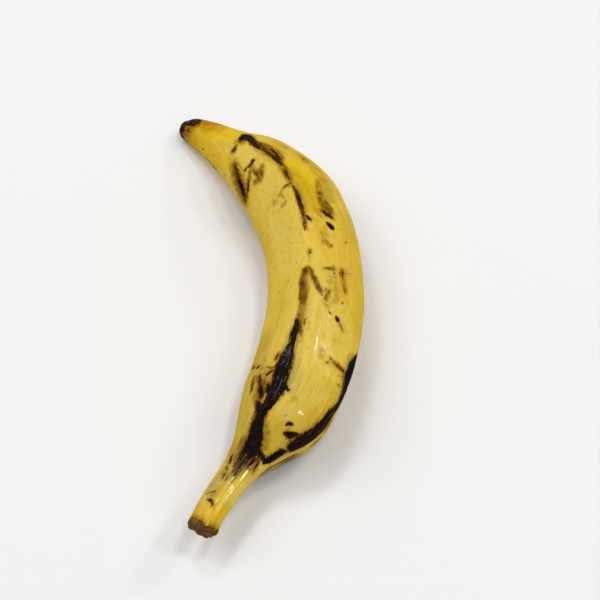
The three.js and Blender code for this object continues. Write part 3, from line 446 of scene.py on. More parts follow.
    ('X', [(256.6, 4.500, 0.11), (260.3, 4.510, 0.18), (264.0, 4.510, 0.17), (267.0, 4.510, 0.16), (269.3, 4.486, 0.12)], 0.08, 0.68),
    ('X', [(260.5, 4.803, 0.11), (264.4, 4.846, 0.18), (267.0, 4.894, 0.26), (271.1, 4.971, 0.16), (274.8, 5.010, 0.10)], 0.08, 0.68),
    ('X', [(254.1, 4.894, 0.11), (259.6, 4.928, 0.15), (265.1, 4.966, 0.13)], 0.24, 0.44),
    ('X', [(251.5, 4.692, 0.12), (256.6, 4.654, 0.20)], 0.22, 0.44),
    ('X', [(255.9, 0.303, 0.19), (262.0, 0.332, 0.20), (268.2, 0.346, 0.15)], 0.24, 0.44),
    ('X', [(263.4, 0.375, 0.16), (270.3, 0.413, 0.23), (277.2, 0.476, 0.13)], 0.20, 0.44),
    ('H', [(7.2, 0.046, 2.30)], 0.50, 1.74),
    # the blossom end all round
    ('K', [(0.2, 0.1, 1.20), (0.3, 0.8, 1.60), (0.2, 1.6, 1.10), (0.4, 2.4, 1.50), (0.2, 3.2, 1.20), (0.5, 4.1, 1.70), (0.2, 4.9, 1.30)]),
    ('N', [(2.6, 1.35, 0.90), (3.8, 1.55, 1.10), (2.4, 1.80, 0.80)]),
    ('N', [(1.8, 2.60, 1.00), (4.6, 2.75, 0.70)]),
    ('N', [(2.2, 3.35, 1.20), (3.4, 3.60, 1.60), (2.4, 3.95, 1.10)]),
    ('K', [(3.0, 3.55, 0.60), (6.2, 3.62, 0.90), (8.4, 3.60, 0.40)]),
    ('M', [(3.6, 2.10, 0.90), (7.4, 2.05, 1.20), (11.0, 2.02, 0.50)]),
    ('D', [(3.0, 0.50, 1.50), (3.2, 1.50, 1.50), (3.0, 2.50, 1.50), (3.2, 3.50, 1.50), (3.0, 4.50, 1.50)], 0.75, 2.60),
    ('O', [(7.0, 1.40, 1.50), (8.0, 2.40, 1.20), (7.0, 3.40, 1.80)], 0.60, 3.00),
    ('G', [(14.0, 3.30, 3.00), (18.0, 2.40, 3.00), (14.0, 1.50, 2.50)], 0.50, 5.00),
    ('Y', [(12.0, 1.50, 6.00), (20.0, 2.50, 6.00), (14.0, 3.60, 6.00), (30.0, 3.00, 5.00)], 0.80, 9.00),
    # rubbed ridges: C
    ('M', [(112.0, 1.10, 0.30), (119.0, 1.08, 0.70), (127.0, 1.12, 0.35)]),
    ('N', [(150.0, 1.12, 0.25), (158.0, 1.10, 0.55), (163.0, 1.13, 0.20)]),
    ('O', [(108.0, 1.12, 1.00), (124.0, 1.12, 1.60), (160.0, 1.14, 1.20)], 0.45, 2.00),
    ('M', [(186.0, 1.10, 0.40), (194.0, 1.07, 1.00), (203.0, 1.10, 0.60)]),
    ('N', [(191.0, 1.10, 0.35), (198.0, 1.09, 0.60)]),
    ('D', [(190.0, 1.12, 1.20), (200.0, 1.10, 1.40)], 0.40, 2.00),
    ('K', [(219.0, 1.14, 0.40), (227.0, 1.16, 1.20), (236.0, 1.20, 1.60), (243.0, 1.30, 1.00)]),
    ('D', [(222.0, 1.16, 1.50), (238.0, 1.22, 2.60)], 0.50, 2.60),
    # ridge D
    ('N', [(28.0, 2.02, 0.30), (38.0, 2.00, 0.60), (45.0, 2.03, 0.30)]),
    ('K', [(58.0, 2.00, 0.25), (69.0, 2.02, 0.80), (79.0, 1.99, 1.10), (88.0, 2.01, 0.50)]),
    ('M', [(88.0, 2.02, 0.60), (101.0, 2.00, 1.20), (116.0, 2.03, 0.60)]),
    ('N', [(97.0, 2.04, 0.30), (108.0, 2.01, 0.70), (121.0, 2.00, 0.30)]),
    ('K', [(139.0, 2.03, 0.30), (149.0, 2.00, 1.00), (161.0, 1.97, 1.50), (170.0, 2.01, 0.80), (178.0, 2.00, 0.30)]),
    ('N', [(176.0, 2.02, 0.50), (190.0, 2.00, 0.80), (204.0, 2.04, 0.40)]),
    ('K', [(212.0, 2.02, 0.60), (223.0, 2.00, 1.60), (234.0, 1.98, 2.20), (243.0, 2.02, 1.40)]),
    ('D', [(64.0, 2.00, 1.50), (80.0, 2.00, 2.20), (104.0, 2.02, 2.40)], 0.45, 2.40),
    ('D', [(146.0, 2.00, 2.00), (164.0, 1.98, 2.60), (180.0, 2.00, 1.50)], 0.45, 2.60),
    ('O', [(184.0, 2.00, 2.00), (200.0, 2.03, 2.00), (226.0, 2.00, 3.40)], 0.60, 3.00),
    # ridge E
    ('N', [(34.0, 3.00, 0.40), (46.0, 3.02, 0.80), (57.0, 2.98, 0.40)]),
    ('K', [(70.0, 3.02, 0.30), (84.0, 3.00, 0.90), (95.0, 2.98, 0.60), (103.0, 3.00, 0.25)]),
    ('M', [(104.0, 3.02, 0.50), (121.0, 3.03, 1.40), (133.0, 3.00, 0.60)]),
    ('N', [(141.0, 3.00, 0.35), (155.0, 3.02, 0.90), (168.0, 2.98, 0.50)]),
    ('K', [(183.0, 3.00, 0.50), (196.0, 3.03, 1.40), (209.0, 3.01, 1.80), (222.0, 3.04, 1.00), (232.0, 3.05, 0.40)]),
    ('D', [(44.0, 3.00, 1.50), (88.0, 3.00, 2.00)], 0.40, 2.20),
    ('D', [(116.0, 3.02, 2.20), (156.0, 3.00, 1.80), (200.0, 3.03, 3.00)], 0.50, 2.80),
    # inner lower face, C to D
    ('O', [(118.0, 1.50, 3.00), (128.0, 1.58, 4.00), (139.0, 1.52, 2.60)], 0.75, 3.00),
    ('M', [(122.0, 1.50, 1.00), (129.0, 1.60, 2.00), (135.0, 1.54, 1.20)]),
    ('N', [(127.0, 1.57, 0.50), (131.0, 1.61, 0.90)]),
    ('N', [(66.0, 1.42, 0.30), (73.0, 1.52, 0.70), (78.0, 1.66, 0.40)]),
    ('O', [(70.0, 1.46, 2.20), (77.0, 1.62, 1.80)], 0.55, 2.00),
    ('M', [(94.0, 1.76, 0.30), (99.0, 1.62, 0.55), (101.0, 1.50, 0.30)]),
    ('K', [(171.0, 1.52, 0.70), (173.2, 1.56, 1.20), (175.0, 1.55, 0.80)]),
    ('D', [(173.0, 1.55, 1.40)], 0.60, 1.60),
    ('L', [(146.0, 1.34, 0.30), (160.0, 1.48, 0.35), (176.0, 1.58, 0.25)], 0.80, 0.60),
    ('M', [(206.0, 1.52, 0.50), (213.0, 1.60, 1.60), (221.0, 1.56, 1.10)]),
    ('O', [(208.0, 1.55, 3.00), (222.0, 1.62, 3.60)], 0.70, 3.00),
    ('S', [(52.0, 1.50, 0.60)]), ('S', [(84.0, 1.30, 0.50)]), ('S', [(88.5, 1.44, 0.80)]), ('S', [(105.0, 1.36, 0.45)]),
    ('S', [(112.0, 1.74, 0.70)]), ('S', [(143.0, 1.30, 0.50)]), ('S', [(151.0, 1.70, 0.90)]), ('S', [(153.4, 1.76, 0.50)]),
    ('S', [(166.0, 1.36, 0.60)]), ('S', [(182.0, 1.72, 0.70)]), ('S', [(187.0, 1.40, 0.50)]), ('S', [(199.0, 1.70, 0.90)]),
    ('S', [(228.0, 1.46, 0.70)]), ('S', [(231.0, 1.58, 0.50)]), ('S', [(38.0, 1.40, 0.50)]), ('S', [(26.0, 1.62, 0.50)]),
    ('G', [(100.0, 1.55, 5.00), (160.0, 1.70, 4.00)], 0.25, 7.00),
    ('P', [(60.0, 1.50, 5.00), (90.0, 1.50, 6.00), (150.0, 1.45, 6.00), (190.0, 1.50, 6.00)], 0.45, 7.00),
    # underside, D to E, bruised where it lies
    ('M', [(98.0, 2.46, 2.00), (112.0, 2.54, 3.60), (126.0, 2.50, 2.80), (138.0, 2.44, 1.20)]),
    ('N', [(106.0, 2.50, 1.00), (116.0, 2.56, 1.80), (124.0, 2.52, 0.80)]),
    ('M', [(160.0, 2.56, 1.20), (174.0, 2.50, 3.00), (190.0, 2.54, 4.20), (203.0, 2.48, 2.40)]),
    ('K', [(180.0, 2.52, 0.80), (190.0, 2.55, 2.20), (197.0, 2.50, 1.20)]),
    ('O', [(60.0, 2.50, 3.00), (84.0, 2.44, 4.00), (104.0, 2.50, 6.00), (130.0, 2.50, 6.00)], 0.60, 4.00),
    ('O', [(160.0, 2.52, 4.00), (188.0, 2.52, 8.00), (212.0, 2.50, 6.00)], 0.70, 4.00),
    ('D', [(112.0, 2.52, 4.00), (188.0, 2.52, 5.00)], 0.50, 3.40),
    ('L', [(70.0, 2.20, 0.30), (88.0, 2.46, 0.40), (101.0, 2.70, 0.30)], 0.80, 0.60),
    ('S', [(48.0, 2.40, 0.60)]), ('S', [(64.0, 2.66, 0.80)]), ('S', [(146.0, 2.30, 0.90)]), ('S', [(150.0, 2.72, 0.60)]), ('S', [(216.0, 2.66, 0.90)]),
    # outer lower face, E to B
    ('M', [(88.0, 3.44, 0.80), (94.0, 3.52, 2.40), (101.0, 3.56, 2.80), (108.0, 3.50, 1.40)]),
    ('N', [(94.0, 3.50, 0.80), (100.0, 3.56, 1.40), (104.0, 3.54, 0.70)]),
    ('O', [(84.0, 3.46, 2.40), (98.0, 3.54, 4.00), (112.0, 3.48, 2.60)], 0.75, 3.00),
    ('N', [(128.0, 3.30, 0.35), (134.0, 3.42, 0.75), (137.0, 3.56, 0.60), (138.0, 3.66, 0.30)]),
    ('O', [(130.0, 3.34, 1.40), (138.0, 3.56, 1.60)], 0.60, 1.60),
    ('K', [(152.0, 3.62, 0.80), (154.6, 3.58, 1.50), (157.0, 3.60, 0.90)]),
    ('S', [(159.6, 3.56, 0.60)]),
    ('D', [(154.8, 3.59, 1.80)], 0.60, 1.80),
    ('L', [(112.0, 3.22, 0.30), (126.0, 3.16, 0.35), (142.0, 3.24, 0.25)], 0.80, 0.60),
    ('M', [(176.0, 3.34, 0.50), (184.0, 3.40, 1.80), (192.0, 3.36, 2.20), (199.0, 3.40, 1.00)]),
    ('N', [(182.0, 3.39, 0.60), (190.0, 3.37, 1.10)]),
    ('O', [(176.0, 3.38, 3.00), (194.0, 3.38, 4.20)], 0.70, 3.00),
    ('M', [(64.0, 3.30, 0.40), (70.0, 3.36, 1.10), (75.0, 3.34, 0.60)]),
    ('O', [(66.0, 3.34, 2.00), (74.0, 3.34, 2.00)], 0.50, 2.00),
    ('M', [(166.0, 3.74, 0.30), (172.0, 3.68, 0.55), (175.0, 3.60, 0.30)]),
    ('S', [(48.0, 3.50, 0.60)]), ('S', [(58.0, 3.60, 0.50)]), ('S', [(79.0, 3.62, 0.70)]), ('S', [(83.0, 3.24, 0.55)]),
    ('S', [(117.0, 3.62, 0.70)]), ('S', [(119.0, 3.44, 0.45)]), ('S', [(123.0, 3.70, 0.55)]), ('S', [(145.0, 3.40, 0.80)]),
    ('S', [(147.6, 3.36, 0.45)]), ('S', [(163.0, 3.26, 0.60)]), ('S', [(169.0, 3.48, 0.50)]), ('S', [(206.0, 3.56, 0.90)]),
    ('S', [(209.0, 3.50, 0.50)]), ('S', [(214.0, 3.34, 0.70)]), ('S', [(36.0, 3.40, 0.55)]), ('S', [(24.0, 3.70, 0.50)]),
    ('G', [(120.0, 3.50, 6.00), (150.0, 3.30, 6.00)], 0.25, 8.00),
    ('P', [(70.0, 3.60, 7.00), (110.0, 3.70, 7.00), (160.0, 3.60, 8.00), (200.0, 3.50, 7.00)], 0.50, 8.00),
    # under the neck the stain runs into the stem in fibres
    ('K', [(236.0, 1.60, 2.40), (246.0, 1.62, 1.60), (256.0, 1.60, 0.60), (261.0, 1.60, 0.20)]),
    ('K', [(240.0, 2.40, 1.80), (249.0, 2.42, 1.10), (259.0, 2.40, 0.30)]),
    ('K', [(238.0, 2.95, 1.80), (247.0, 3.00, 1.40), (257.0, 3.00, 0.40)]),
    ('N', [(239.0, 3.40, 1.20), (248.0, 3.44, 0.90), (258.0, 3.46, 0.40)]),
    ('N', [(242.0, 1.90, 0.80), (252.0, 1.95, 0.60), (262.0, 1.96, 0.25)]),
    ('N', [(243.0, 2.68, 0.80), (255.0, 2.70, 0.60), (264.0, 2.70, 0.20)]),
    ('E', [(240.0, 1.60, 3.00), (246.0, 2.40, 3.00), (242.0, 3.20, 3.00)], 0.90, 3.60),
    ('E', [(254.0, 1.70, 2.50), (258.0, 2.60, 2.50), (254.0, 3.30, 2.50)], 0.70, 4.00),
    ('D', [(240.0, 1.60, 3.00), (246.0, 2.40, 3.00), (242.0, 3.10, 3.00)], 0.60, 3.00),
    ('V', [(266.0, 1.50, 3.00), (280.0, 1.60, 3.00), (294.0, 1.70, 3.00)], 0.60, 4.00),
    ('V', [(270.0, 3.20, 3.00), (288.0, 3.30, 3.00)], 0.50, 4.00),
    ('M', [(271.0, 2.20, 0.30), (276.0, 2.22, 0.70), (281.0, 2.20, 0.30)]),
    ('N', [(284.0, 3.02, 0.30), (289.0, 3.00, 0.80), (294.0, 3.04, 0.50)]),
    ('S', [(268.0, 1.40, 0.60)]), ('S', [(274.0, 3.50, 0.70)]), ('S', [(283.0, 1.90, 0.50)]), ('S', [(287.0, 2.50, 0.60)]),
    # the cut end dries brown
    ('M', [(298.2, 0.20, 0.90), (297.4, 0.90, 1.20), (298.4, 1.70, 0.70), (297.2, 2.50, 1.30), (298.2, 3.30, 0.80), (297.4, 4.10, 1.20), (298.4, 4.80, 0.80)]),
    ('D', [(298.0, 0.50, 1.00), (298.0, 1.50, 1.00), (298.0, 2.50, 1.00), (298.0, 3.50, 1.00), (298.0, 4.50, 1.00)], 0.70, 2.60),
    # freckled patches
    ('F', [(60.0, 3.50, 5.00), (96.0, 3.55, 7.00), (140.0, 3.45, 7.00), (190.0, 3.45, 7.00), (222.0, 3.40, 5.00)], 0.55, 6.00),
    ('F', [(70.0, 1.55, 4.00), (122.0, 1.60, 5.00), (172.0, 1.55, 5.00), (222.0, 1.50, 5.00)], 0.50, 6.00),
    ('F', [(60.0, 2.50, 4.00), (140.0, 2.50, 6.00), (220.0, 2.50, 5.00)], 0.60, 6.00),
]


def along(u):
    k = len(STATIONS) - 1
    x = np.clip(u, 0, 1) * k
    i = np.clip(np.floor(x).astype(int), 0, k - 1)
    f = (x - i)[:, None]
    at = lambda j: STATIONS[np.clip(j, 0, k)]
    p0, p1, p2, p3 = at(i - 1), at(i), at(i + 1), at(i + 2)
    p0 = np.where((i == 0)[:, None], 2 * p1 - p2, p0)
    p3 = np.where((i == k - 1)[:, None], 2 * p2 - p1, p3)
    b, c, d = p2 - p0, 2 * p0 - 5 * p1 + 4 * p2 - p3, -p0 + 3 * p1 - 3 * p2 + p3
    return (.5 * (2 * p1 + b * f + c * f * f + d * f ** 3),
            .5 * (b + 2 * c * f + 3 * d * f * f))


_u = np.linspace(0, 1, 4001)
_arc = np.r_[0, np.cumsum(np.linalg.norm(np.diff(along(_u)[0][:, :3], axis=0), axis=1))]
LENGTH = _arc[-1]


def sections(s):
    """Everything about the sections at arc lengths s."""
    val, der = along(np.interp(s, _arc, _u))
    T = der[:, :3] / np.linalg.norm(der[:, :3], axis=1)[:, None]
    up = np.array([0, 0, 1.0])
    B = up - (T @ up)[:, None] * T
    B /= np.linalg.norm(B, axis=1)[:, None]
    N = np.cross(B, T)
    a, b = np.clip(s / 2.5, 0, 1), LENGTH - s
    ends = (.8 + .2 * np.sqrt(np.clip(1 - (1 - a) ** 2, 0, 1))) * (1 + .1 * np.exp(-(b / 5.0) ** 2))
    ends = ends * np.where(b < 1.2, 1 - .06 * (1 - b / 1.2) ** 2, 1)
    A, AC, BA = np.radians(val[:, 4]), np.radians(val[:, 5]), np.radians(val[:, 6])
    rest = 2 * np.pi - AC - BA
    ridges = np.stack([A, A + AC, A + AC + SHARE_D * rest, A + AC + SHARE_E * rest,
                       A - BA + 2 * np.pi, A + 2 * np.pi], 1)
    psi = (ridges[:, 1:] + ridges[:, :-1]) / 2
    dist = 1 - val[:, 7:8] * (1 - np.cos((ridges[:, 1:] - ridges[:, :-1]) / 2))
    return dict(C=val[:, :3] + SHIFT, T=T, N=N, B=B, ridges=ridges, psi=psi, dist=dist,
                p=val[:, 8], r=val[:, 3] * ends, s=s)


def offsets(q, v):
    """In-section offsets (along N, along B) at ring coordinates v, one per row of q."""
    v = np.mod(v, 5.0)
    k = np.clip(np.floor(v).astype(int), 0, 4)
    f = v - k
    row = np.arange(len(k))
    phi = q["ridges"][row, k] * (1 - f) + q["ridges"][row, k + 1] * f
    c = np.maximum(0, np.cos(phi[:, None] - q["psi"])) / q["dist"]
    rad = (c ** q["p"][:, None]).sum(1) ** (-1 / q["p"]) * q["r"]
    at_s, reach_s, at_v, reach_v, share = SHOULDER
    turn = np.mod(v - at_v + 2.5, 5.0) - 2.5
    rad = rad * (1 + share * np.exp(-((q["s"] - at_s) / reach_s) ** 2 - (turn / reach_v) ** 2))
    return rad * np.cos(phi), SQUASH * rad * np.sin(phi)


def settle(z):
    return np.where(z <= -REST_BAND, 0, np.where(z >= REST_BAND, z, (z + REST_BAND) ** 2 / (4 * REST_BAND)))


def points(s, v):
    s, v = np.atleast_1d(np.asarray(s, float)), np.atleast_1d(np.asarray(v, float))
    q = sections(s)
    n, b = offsets(q, v)
    X = q["C"] + n[:, None] * q["N"] + b[:, None] * q["B"]
    X[:, 2] = settle(X[:, 2])
    return X


# ------------------------------------------------------------ smooth 3-D noise
def lattice(ix, iy, iz, seed):
    h = (ix * 374761393 + iy * 668265263 + iz * 2147483647 + seed * 1274126177) & 0xFFFFFFFF
    h = ((h ^ (h >> 13)) * 1274126177) & 0xFFFFFFFF
    h = h ^ (h >> 16)
    return (h & 0xFFFFFF) / float(0xFFFFFF)


def noise(P, seed=0):
    """Value noise in -1..1 at points P, cell size 1."""
    F = np.floor(P)
    f = P - F
    f = f * f * f * (f * (f * 6 - 15) + 10)
    i = F.astype(np.int64)
    out = 0
    for dx in (0, 1):
        for dy in (0, 1):
            for dz in (0, 1):
                w = ((f[:, 0] if dx else 1 - f[:, 0]) * (f[:, 1] if dy else 1 - f[:, 1])
                     * (f[:, 2] if dz else 1 - f[:, 2]))
                out = out + w * lattice(i[:, 0] + dx, i[:, 1] + dy, i[:, 2] + dz, seed)
    return out * 2 - 1


def fractal(P, octaves=3, seed=0):
    total, amp, norm = 0, 1.0, 0.0
    for o in range(octaves):
        total = total + amp * noise(P * (2.03 ** o) + 17.3 * o, seed + o)
        norm += amp
        amp *= .5
    return total / norm


# -------------------------------------------------------------------- the mesh
def ramp(x, lo, hi):
    t = np.clip((x - lo) / (hi - lo), 0, 1)
    return t * t * (3 - 2 * t)


ring_v = np.concatenate([k + np.arange(n) / n for k, n in enumerate(COLUMNS)])
NV = len(ring_v)
t = np.linspace(0, 1, RINGS)
ring_s = LENGTH * (t + .010 * (np.sin(2 * np.pi * t) * -1) / 1.0)   # a little denser at the ends
ring_s = np.clip(ring_s, 0, LENGTH)
ring_s[0], ring_s[-1] = 0, LENGTH

S = np.repeat(ring_s, NV)
V = np.tile(ring_v, RINGS)
Q = sections(ring_s)
Qr = {k: np.repeat(a, NV, axis=0) for k, a in Q.items()}
n0, b0 = offsets(Qr, V)
flow = np.stack([S, n0, b0], 1)                # the fruit straightened out, mm
turned = np.arctan2(b0, n0)
strands = np.stack([S, 15 * np.cos(turned), 15 * np.sin(turned)], 1)   # the same, as thick all along
X = Qr["C"] + n0[:, None] * Qr["N"] + b0[:, None] * Qr["B"]

# outward normals of the smooth body
G = X.reshape(RINGS, NV, 3)
dS = np.gradient(G, axis=0)
dV = np.roll(G, -1, 1) - np.roll(G, 1, 1)
nrm = np.cross(dV, dS)
nrm /= np.linalg.norm(nrm, axis=2)[..., None] + 1e-12
if ((G - Q["C"][:, None, :]) * nrm).sum() < 0:
    nrm = -nrm
nrm = nrm.reshape(-1, 3)
Xs = X.copy()
Xs[:, 2] = settle(Xs[:, 2])


# ---------------------------------------------------------------- mark fields
def dense(path):
    """A stroke as closely spaced points on the skin with their half widths."""
    P = np.array(path, float)
    if len(P) == 1:
        return points(P[:, 0], P[:, 1]), P[:, 2]
    out = []
    for a, b in zip(P[:-1], P[1:]):
        gap = max(abs(a[0] - b[0]), 22 * abs(a[1] - b[1]), .3)
        n = max(2, int(gap / .35))
        f = np.linspace(0, 1, n, endpoint=False)[:, None]
        out.append(a * (1 - f) + b * f)
    out.append(P[-1:])
    P = np.concatenate(out)
    return points(P[:, 0], P[:, 1]), P[:, 2]


def distance(path, reach):
    """Vertex numbers near a stroke and their distance to its edge, mm."""
    P, w = dense(path)
    lo, hi = P.min(0) - w.max() - reach, P.max(0) + w.max() + reach
    near = np.where(np.all((Xs > lo) & (Xs < hi), axis=1))[0]
    if not len(near):
        return near, np.zeros(0)
    d = np.full(len(near), 1e9)
    for i in range(0, len(P), 64):
        q = Xs[near][:, None, :] - P[None, i:i + 64]
        d = np.minimum(d, (np.sqrt((q ** 2).sum(-1)) - w[None, i:i + 64]).min(1))
    return near, d


FAR = 5.0
edge = {k: np.full(len(X), FAR) for k in "KNMS"}
soft = {k: np.zeros(len(X)) for k in "LODYGEVTRHPFX"}
for mark in MARKS:
    kind, path = mark[0], mark[1]
    if kind in edge:
        i, d = distance(path, FAR)
        edge[kind][i] = np.minimum(edge[kind][i], d)
    else:
        strength, spread = mark[2], mark[3]
        i, d = distance(path, 2.6 * spread)
        f = strength * np.exp(-(np.maximum(d, 0) / spread) ** 2)
        soft[kind][i] = np.maximum(soft[kind][i], f)

# ------------------------------------------------------------- relief, in mm
black = ramp(-edge["K"], -.3, .5)
h = .35 * fractal(flow / np.array([34, 15, 15.]), 3, 3)                # uneven growth
h += .10 * fractal(flow / np.array([13, 4.5, 4.5]), 2, 11)
crest = np.abs(V - np.round(V))                                        # ridges are a little keener
keen = np.where((V < .5) | (V > 4.5), .20, .48)
h += (keen * np.exp(-(crest / .05) ** 2) * (1 + .7 * noise(flow / np.array([9, 50, 50.]), 21))
      * ramp(S, 12, 50) * ramp(LENGTH - S, 26, 60))
flute = turned
neck = ramp(S, 236, 266)
h += neck * .22 * np.sin(flute * 9 + 1.1 * noise(np.stack([S / 17, S * 0, S * 0], 1), 31))
h += neck * .16 * noise(np.stack([S / 16, 5.2 * np.cos(flute), 5.2 * np.sin(flute)], 1), 35)
h -= black * .22
h += black * soft["R"] * .30 * fractal(flow / np.array([2.6, 1.7, 1.7]), 2, 41)
h -= ramp(-edge["N"], -.3, .4) * .08
tipzone = 1 - ramp(S, 2, 12)
h += tipzone * .22 * fractal(flow / 1.7, 2, 51)
h += .8 * np.exp(-((S - 9.5) / 5) ** 2 - ((np.mod(V - .1 + 2.5, 5.0) - 2.5) / .55) ** 2)   # lip of the dark cap
h += soft["X"]
h *= ramp(Xs[:, 2], .0, 2.0)                                           # pressed flat where it rests
X = X + nrm * h[:, None]
X[:, 2] = settle(X[:, 2])

# end faces: the dry blossom scar and the cut of the stem
verts = [X]
fl = [flow]
end_part = []
tipC, stemC = Q["C"][0], Q["C"][-1]


def cap(centre, T, base, base_flow, rings, sign, seed):
    """Rings closing an end: [(size, distance out)]; the one middle point is added by the caller."""
    made, flows = [], []
    for size, out in rings:
        ringp = centre + (base - centre) * size + sign * T * out
        fp = base_flow.copy()
        fp[:, 1:] *= size
        fp[:, 0] += sign * out
        rough = .16 * fractal(fp / np.array([1.0, 1.3, 1.3]), 3, seed)
        ringp = ringp + (sign * T)[None] * rough[:, None] * (1 if size < .97 else .3)
        made.append(ringp)
        flows.append(fp)
    return made, flows


tip_rings = [(.96, .22), (.90, .40), (.82, .55), (.72, .62), (.60, .60), (.48, .48), (.36, .36), (.24, .26), (.12, .20)]
stem_rings = [(.985, .22), (.955, .38), (.91, .46), (.84, .48), (.74, .44), (.62, .42), (.50, .38), (.38, .36), (.26, .34), (.13, .32)]
Xg = X.reshape(RINGS, NV, 3)
fg = flow.reshape(RINGS, NV, 3)
tc = Xg[0].mean(0)
sc_ = Xg[-1].mean(0)
tr, tf = cap(tc, Q["T"][0], Xg[0], fg[0], tip_rings, -1, 61)
sr, sf = cap(sc_, Q["T"][-1], Xg[-1], fg[-1], stem_rings, 1, 71)
layers = tr[::-1] + [Xg[i] for i in range(RINGS)] + sr
flows = tf[::-1] + [fg[i] for i in range(RINGS)] + sf
P = np.concatenate(layers + [(tc - Q["T"][0] * .18)[None], (sc_ + Q["T"][-1] * .32)[None]])
P[:, 2] = np.maximum(P[:, 2], 0)
FL = np.concatenate(flows + [np.array([[-.4, 0, 0.]]), np.array([[LENGTH + .4, 0, 0.]])])
ST = np.concatenate([strands[:NV]] * len(tr) + [strands] + [strands[-NV:]] * len(sr)
                    + [np.array([[-.4, 0, 0.]]), np.array([[LENGTH + .4, 0, 0.]])])
ST[:, 0] = FL[:, 0]
NL = len(layers)

i = np.arange(NL - 1)[:, None] * NV
j = np.arange(NV)[None]
k = (j + 1) % NV
quads = np.stack([i + j, i + k, i + NV + k, i + NV + j], -1).reshape(-1, 4)
first, last = NL * NV, NL * NV + 1
tri0 = np.stack([np.full(NV, first), (np.arange(NV) + 1) % NV, np.arange(NV)], 1)
e = (NL - 1) * NV
tri1 = np.stack([np.full(NV, last), e + np.arange(NV), e + (np.arange(NV) + 1) % NV], 1)
me = bpy.data.meshes.new("plantain_fruit")
me.from_pydata((P * MM).tolist(), [], quads.tolist() + tri0.tolist() + tri1.tolist())
me.validate()
me.update()
me.polygons.foreach_set("use_smooth", np.ones(len(me.polygons), bool))


def spread(a, tip, stem):
    """A per-vertex array for the body grown to cover the end faces too."""
    return np.concatenate([np.full(len(tr) * NV, tip), a, np.full(len(sr) * NV, stem), [tip, stem]])


def colour_field(name, a, b, c, d):
    att = me.attributes.new(name, "FLOAT_COLOR", "POINT")
    att.data.foreach_set("color", np.stack([a, b, c, d], 1).astype(np.float32).ravel())


colour_field("edges", spread(edge["K"], FAR, FAR), spread(edge["N"], FAR, FAR),
             spread(edge["M"], FAR, FAR), spread(edge["S"], FAR, FAR))
colour_field("tints", spread(soft["O"], 0, 0), spread(soft["Y"], 0, 0),
             spread(soft["E"], 0, 0), spread(soft["T"], 0, 0))
colour_field("stains", spread(soft["D"], 0, 0), spread(soft["G"], 0, 0),
             spread(soft["V"], 0, 0), spread(soft["L"], 0, 0))
colour_field("finish_and_painted_light", spread(soft["P"], 0, 0), spread(soft["F"], 0, 0),
             spread(soft["R"], 0, 0), spread(soft["H"], 0, 0))
att = me.attributes.new("flow", "FLOAT_VECTOR", "POINT")
att.data.foreach_set("vector", FL.astype(np.float32).ravel())
att = me.attributes.new("strands", "FLOAT_VECTOR", "POINT")
att.data.foreach_set("vector", ST.astype(np.float32).ravel())

fruit = bpy.data.objects.new("plantain_fruit", me)
bpy.context.scene.collection.objects.link(fruit)


# ---------------------------------------------------------------- materials
def lin(r, g, b):
    f = lambda c: c / 12.92 if c <= .04045 else ((c + .055) / 1.055) ** 2.4
    return (f(r / 255), f(g / 255), f(b / 255), 1.0)


class Nodes:
    """Short names for building a node tree."""

    def __init__(self, mat):
        mat.use_nodes = True
        self.t = mat.node_tree
        self.t.nodes.clear()
        self.x = 0

    def new(self, kind, **props):
        n = self.t.nodes.new(kind)
        self.x += 40
        n.location = (self.x, 0)
        for k, v in props.items():
            setattr(n, k, v)
        return n

    def link(self, a, b):
        self.t.links.new(a, b)

    def put(self, socket, value):
        if hasattr(value, "links") or hasattr(value, "is_linked"):
            self.link(value, socket)
        else:
            socket.default_value = value

    def math(self, op, a, b=0.0, clamp=False):
        n = self.new("ShaderNodeMath", operation=op, use_clamp=clamp)
        self.put(n.inputs[0], a)
        self.put(n.inputs[1], b)
        return n.outputs[0]

    def step(self, x, lo, hi, out_lo=0.0, out_hi=1.0):
        n = self.new("ShaderNodeMapRange", interpolation_type="SMOOTHSTEP")
        self.put(n.inputs["Value"], x)
        n.inputs["From Min"].default_value = lo
        n.inputs["From Max"].default_value = hi
        n.inputs["To Min"].default_value = out_lo
        n.inputs["To Max"].default_value = out_hi
        return n.outputs["Result"]

    def mix(self, f, a, b, blend="MIX"):
        n = self.new("ShaderNodeMix", data_type="RGBA", blend_type=blend)
        self.put(n.inputs["Factor"], f)
        self.put(n.inputs["A"] if False else n.inputs[6], a)
        self.put(n.inputs[7], b)
        return n.outputs[2]

    def scaled(self, vec, sx, sy, sz, ox=0.0, oy=0.0, oz=0.0):
        n = self.new("ShaderNodeVectorMath", operation="MULTIPLY_ADD")
        self.put(n.inputs[0], vec)
        n.inputs[1].default_value = (sx, sy, sz)
        n.inputs[2].default_value = (ox, oy, oz)
        return n.outputs[0]

    def noise(self, vec, scale=1.0, detail=2.0, rough=.5, distort=0.0):
        n = self.new("ShaderNodeTexNoise", noise_dimensions="3D")
        self.put(n.inputs["Vector"], vec)
        n.inputs["Scale"].default_value = scale
        n.inputs["Detail"].default_value = detail
        n.inputs["Roughness"].default_value = rough
        n.inputs["Distortion"].default_value = distort
        return n.outputs["Fac"] if "Fac" in n.outputs else n.outputs[0]

    def voronoi(self, vec, scale=1.0, feature="F1", rand=1.0):
        n = self.new("ShaderNodeTexVoronoi", voronoi_dimensions="3D", feature=feature)
        self.put(n.inputs["Vector"], vec)
        n.inputs["Scale"].default_value = scale
        n.inputs["Randomness"].default_value = rand
        return n

    def field(self, name):
        a = self.new("ShaderNodeAttribute", attribute_name=name, attribute_type="GEOMETRY")
        s = self.new("ShaderNodeSeparateColor", mode="RGB")
        self.link(a.outputs["Color"], s.inputs[0])
        return s.outputs[0], s.outputs[1], s.outputs[2], a.outputs["Alpha"]


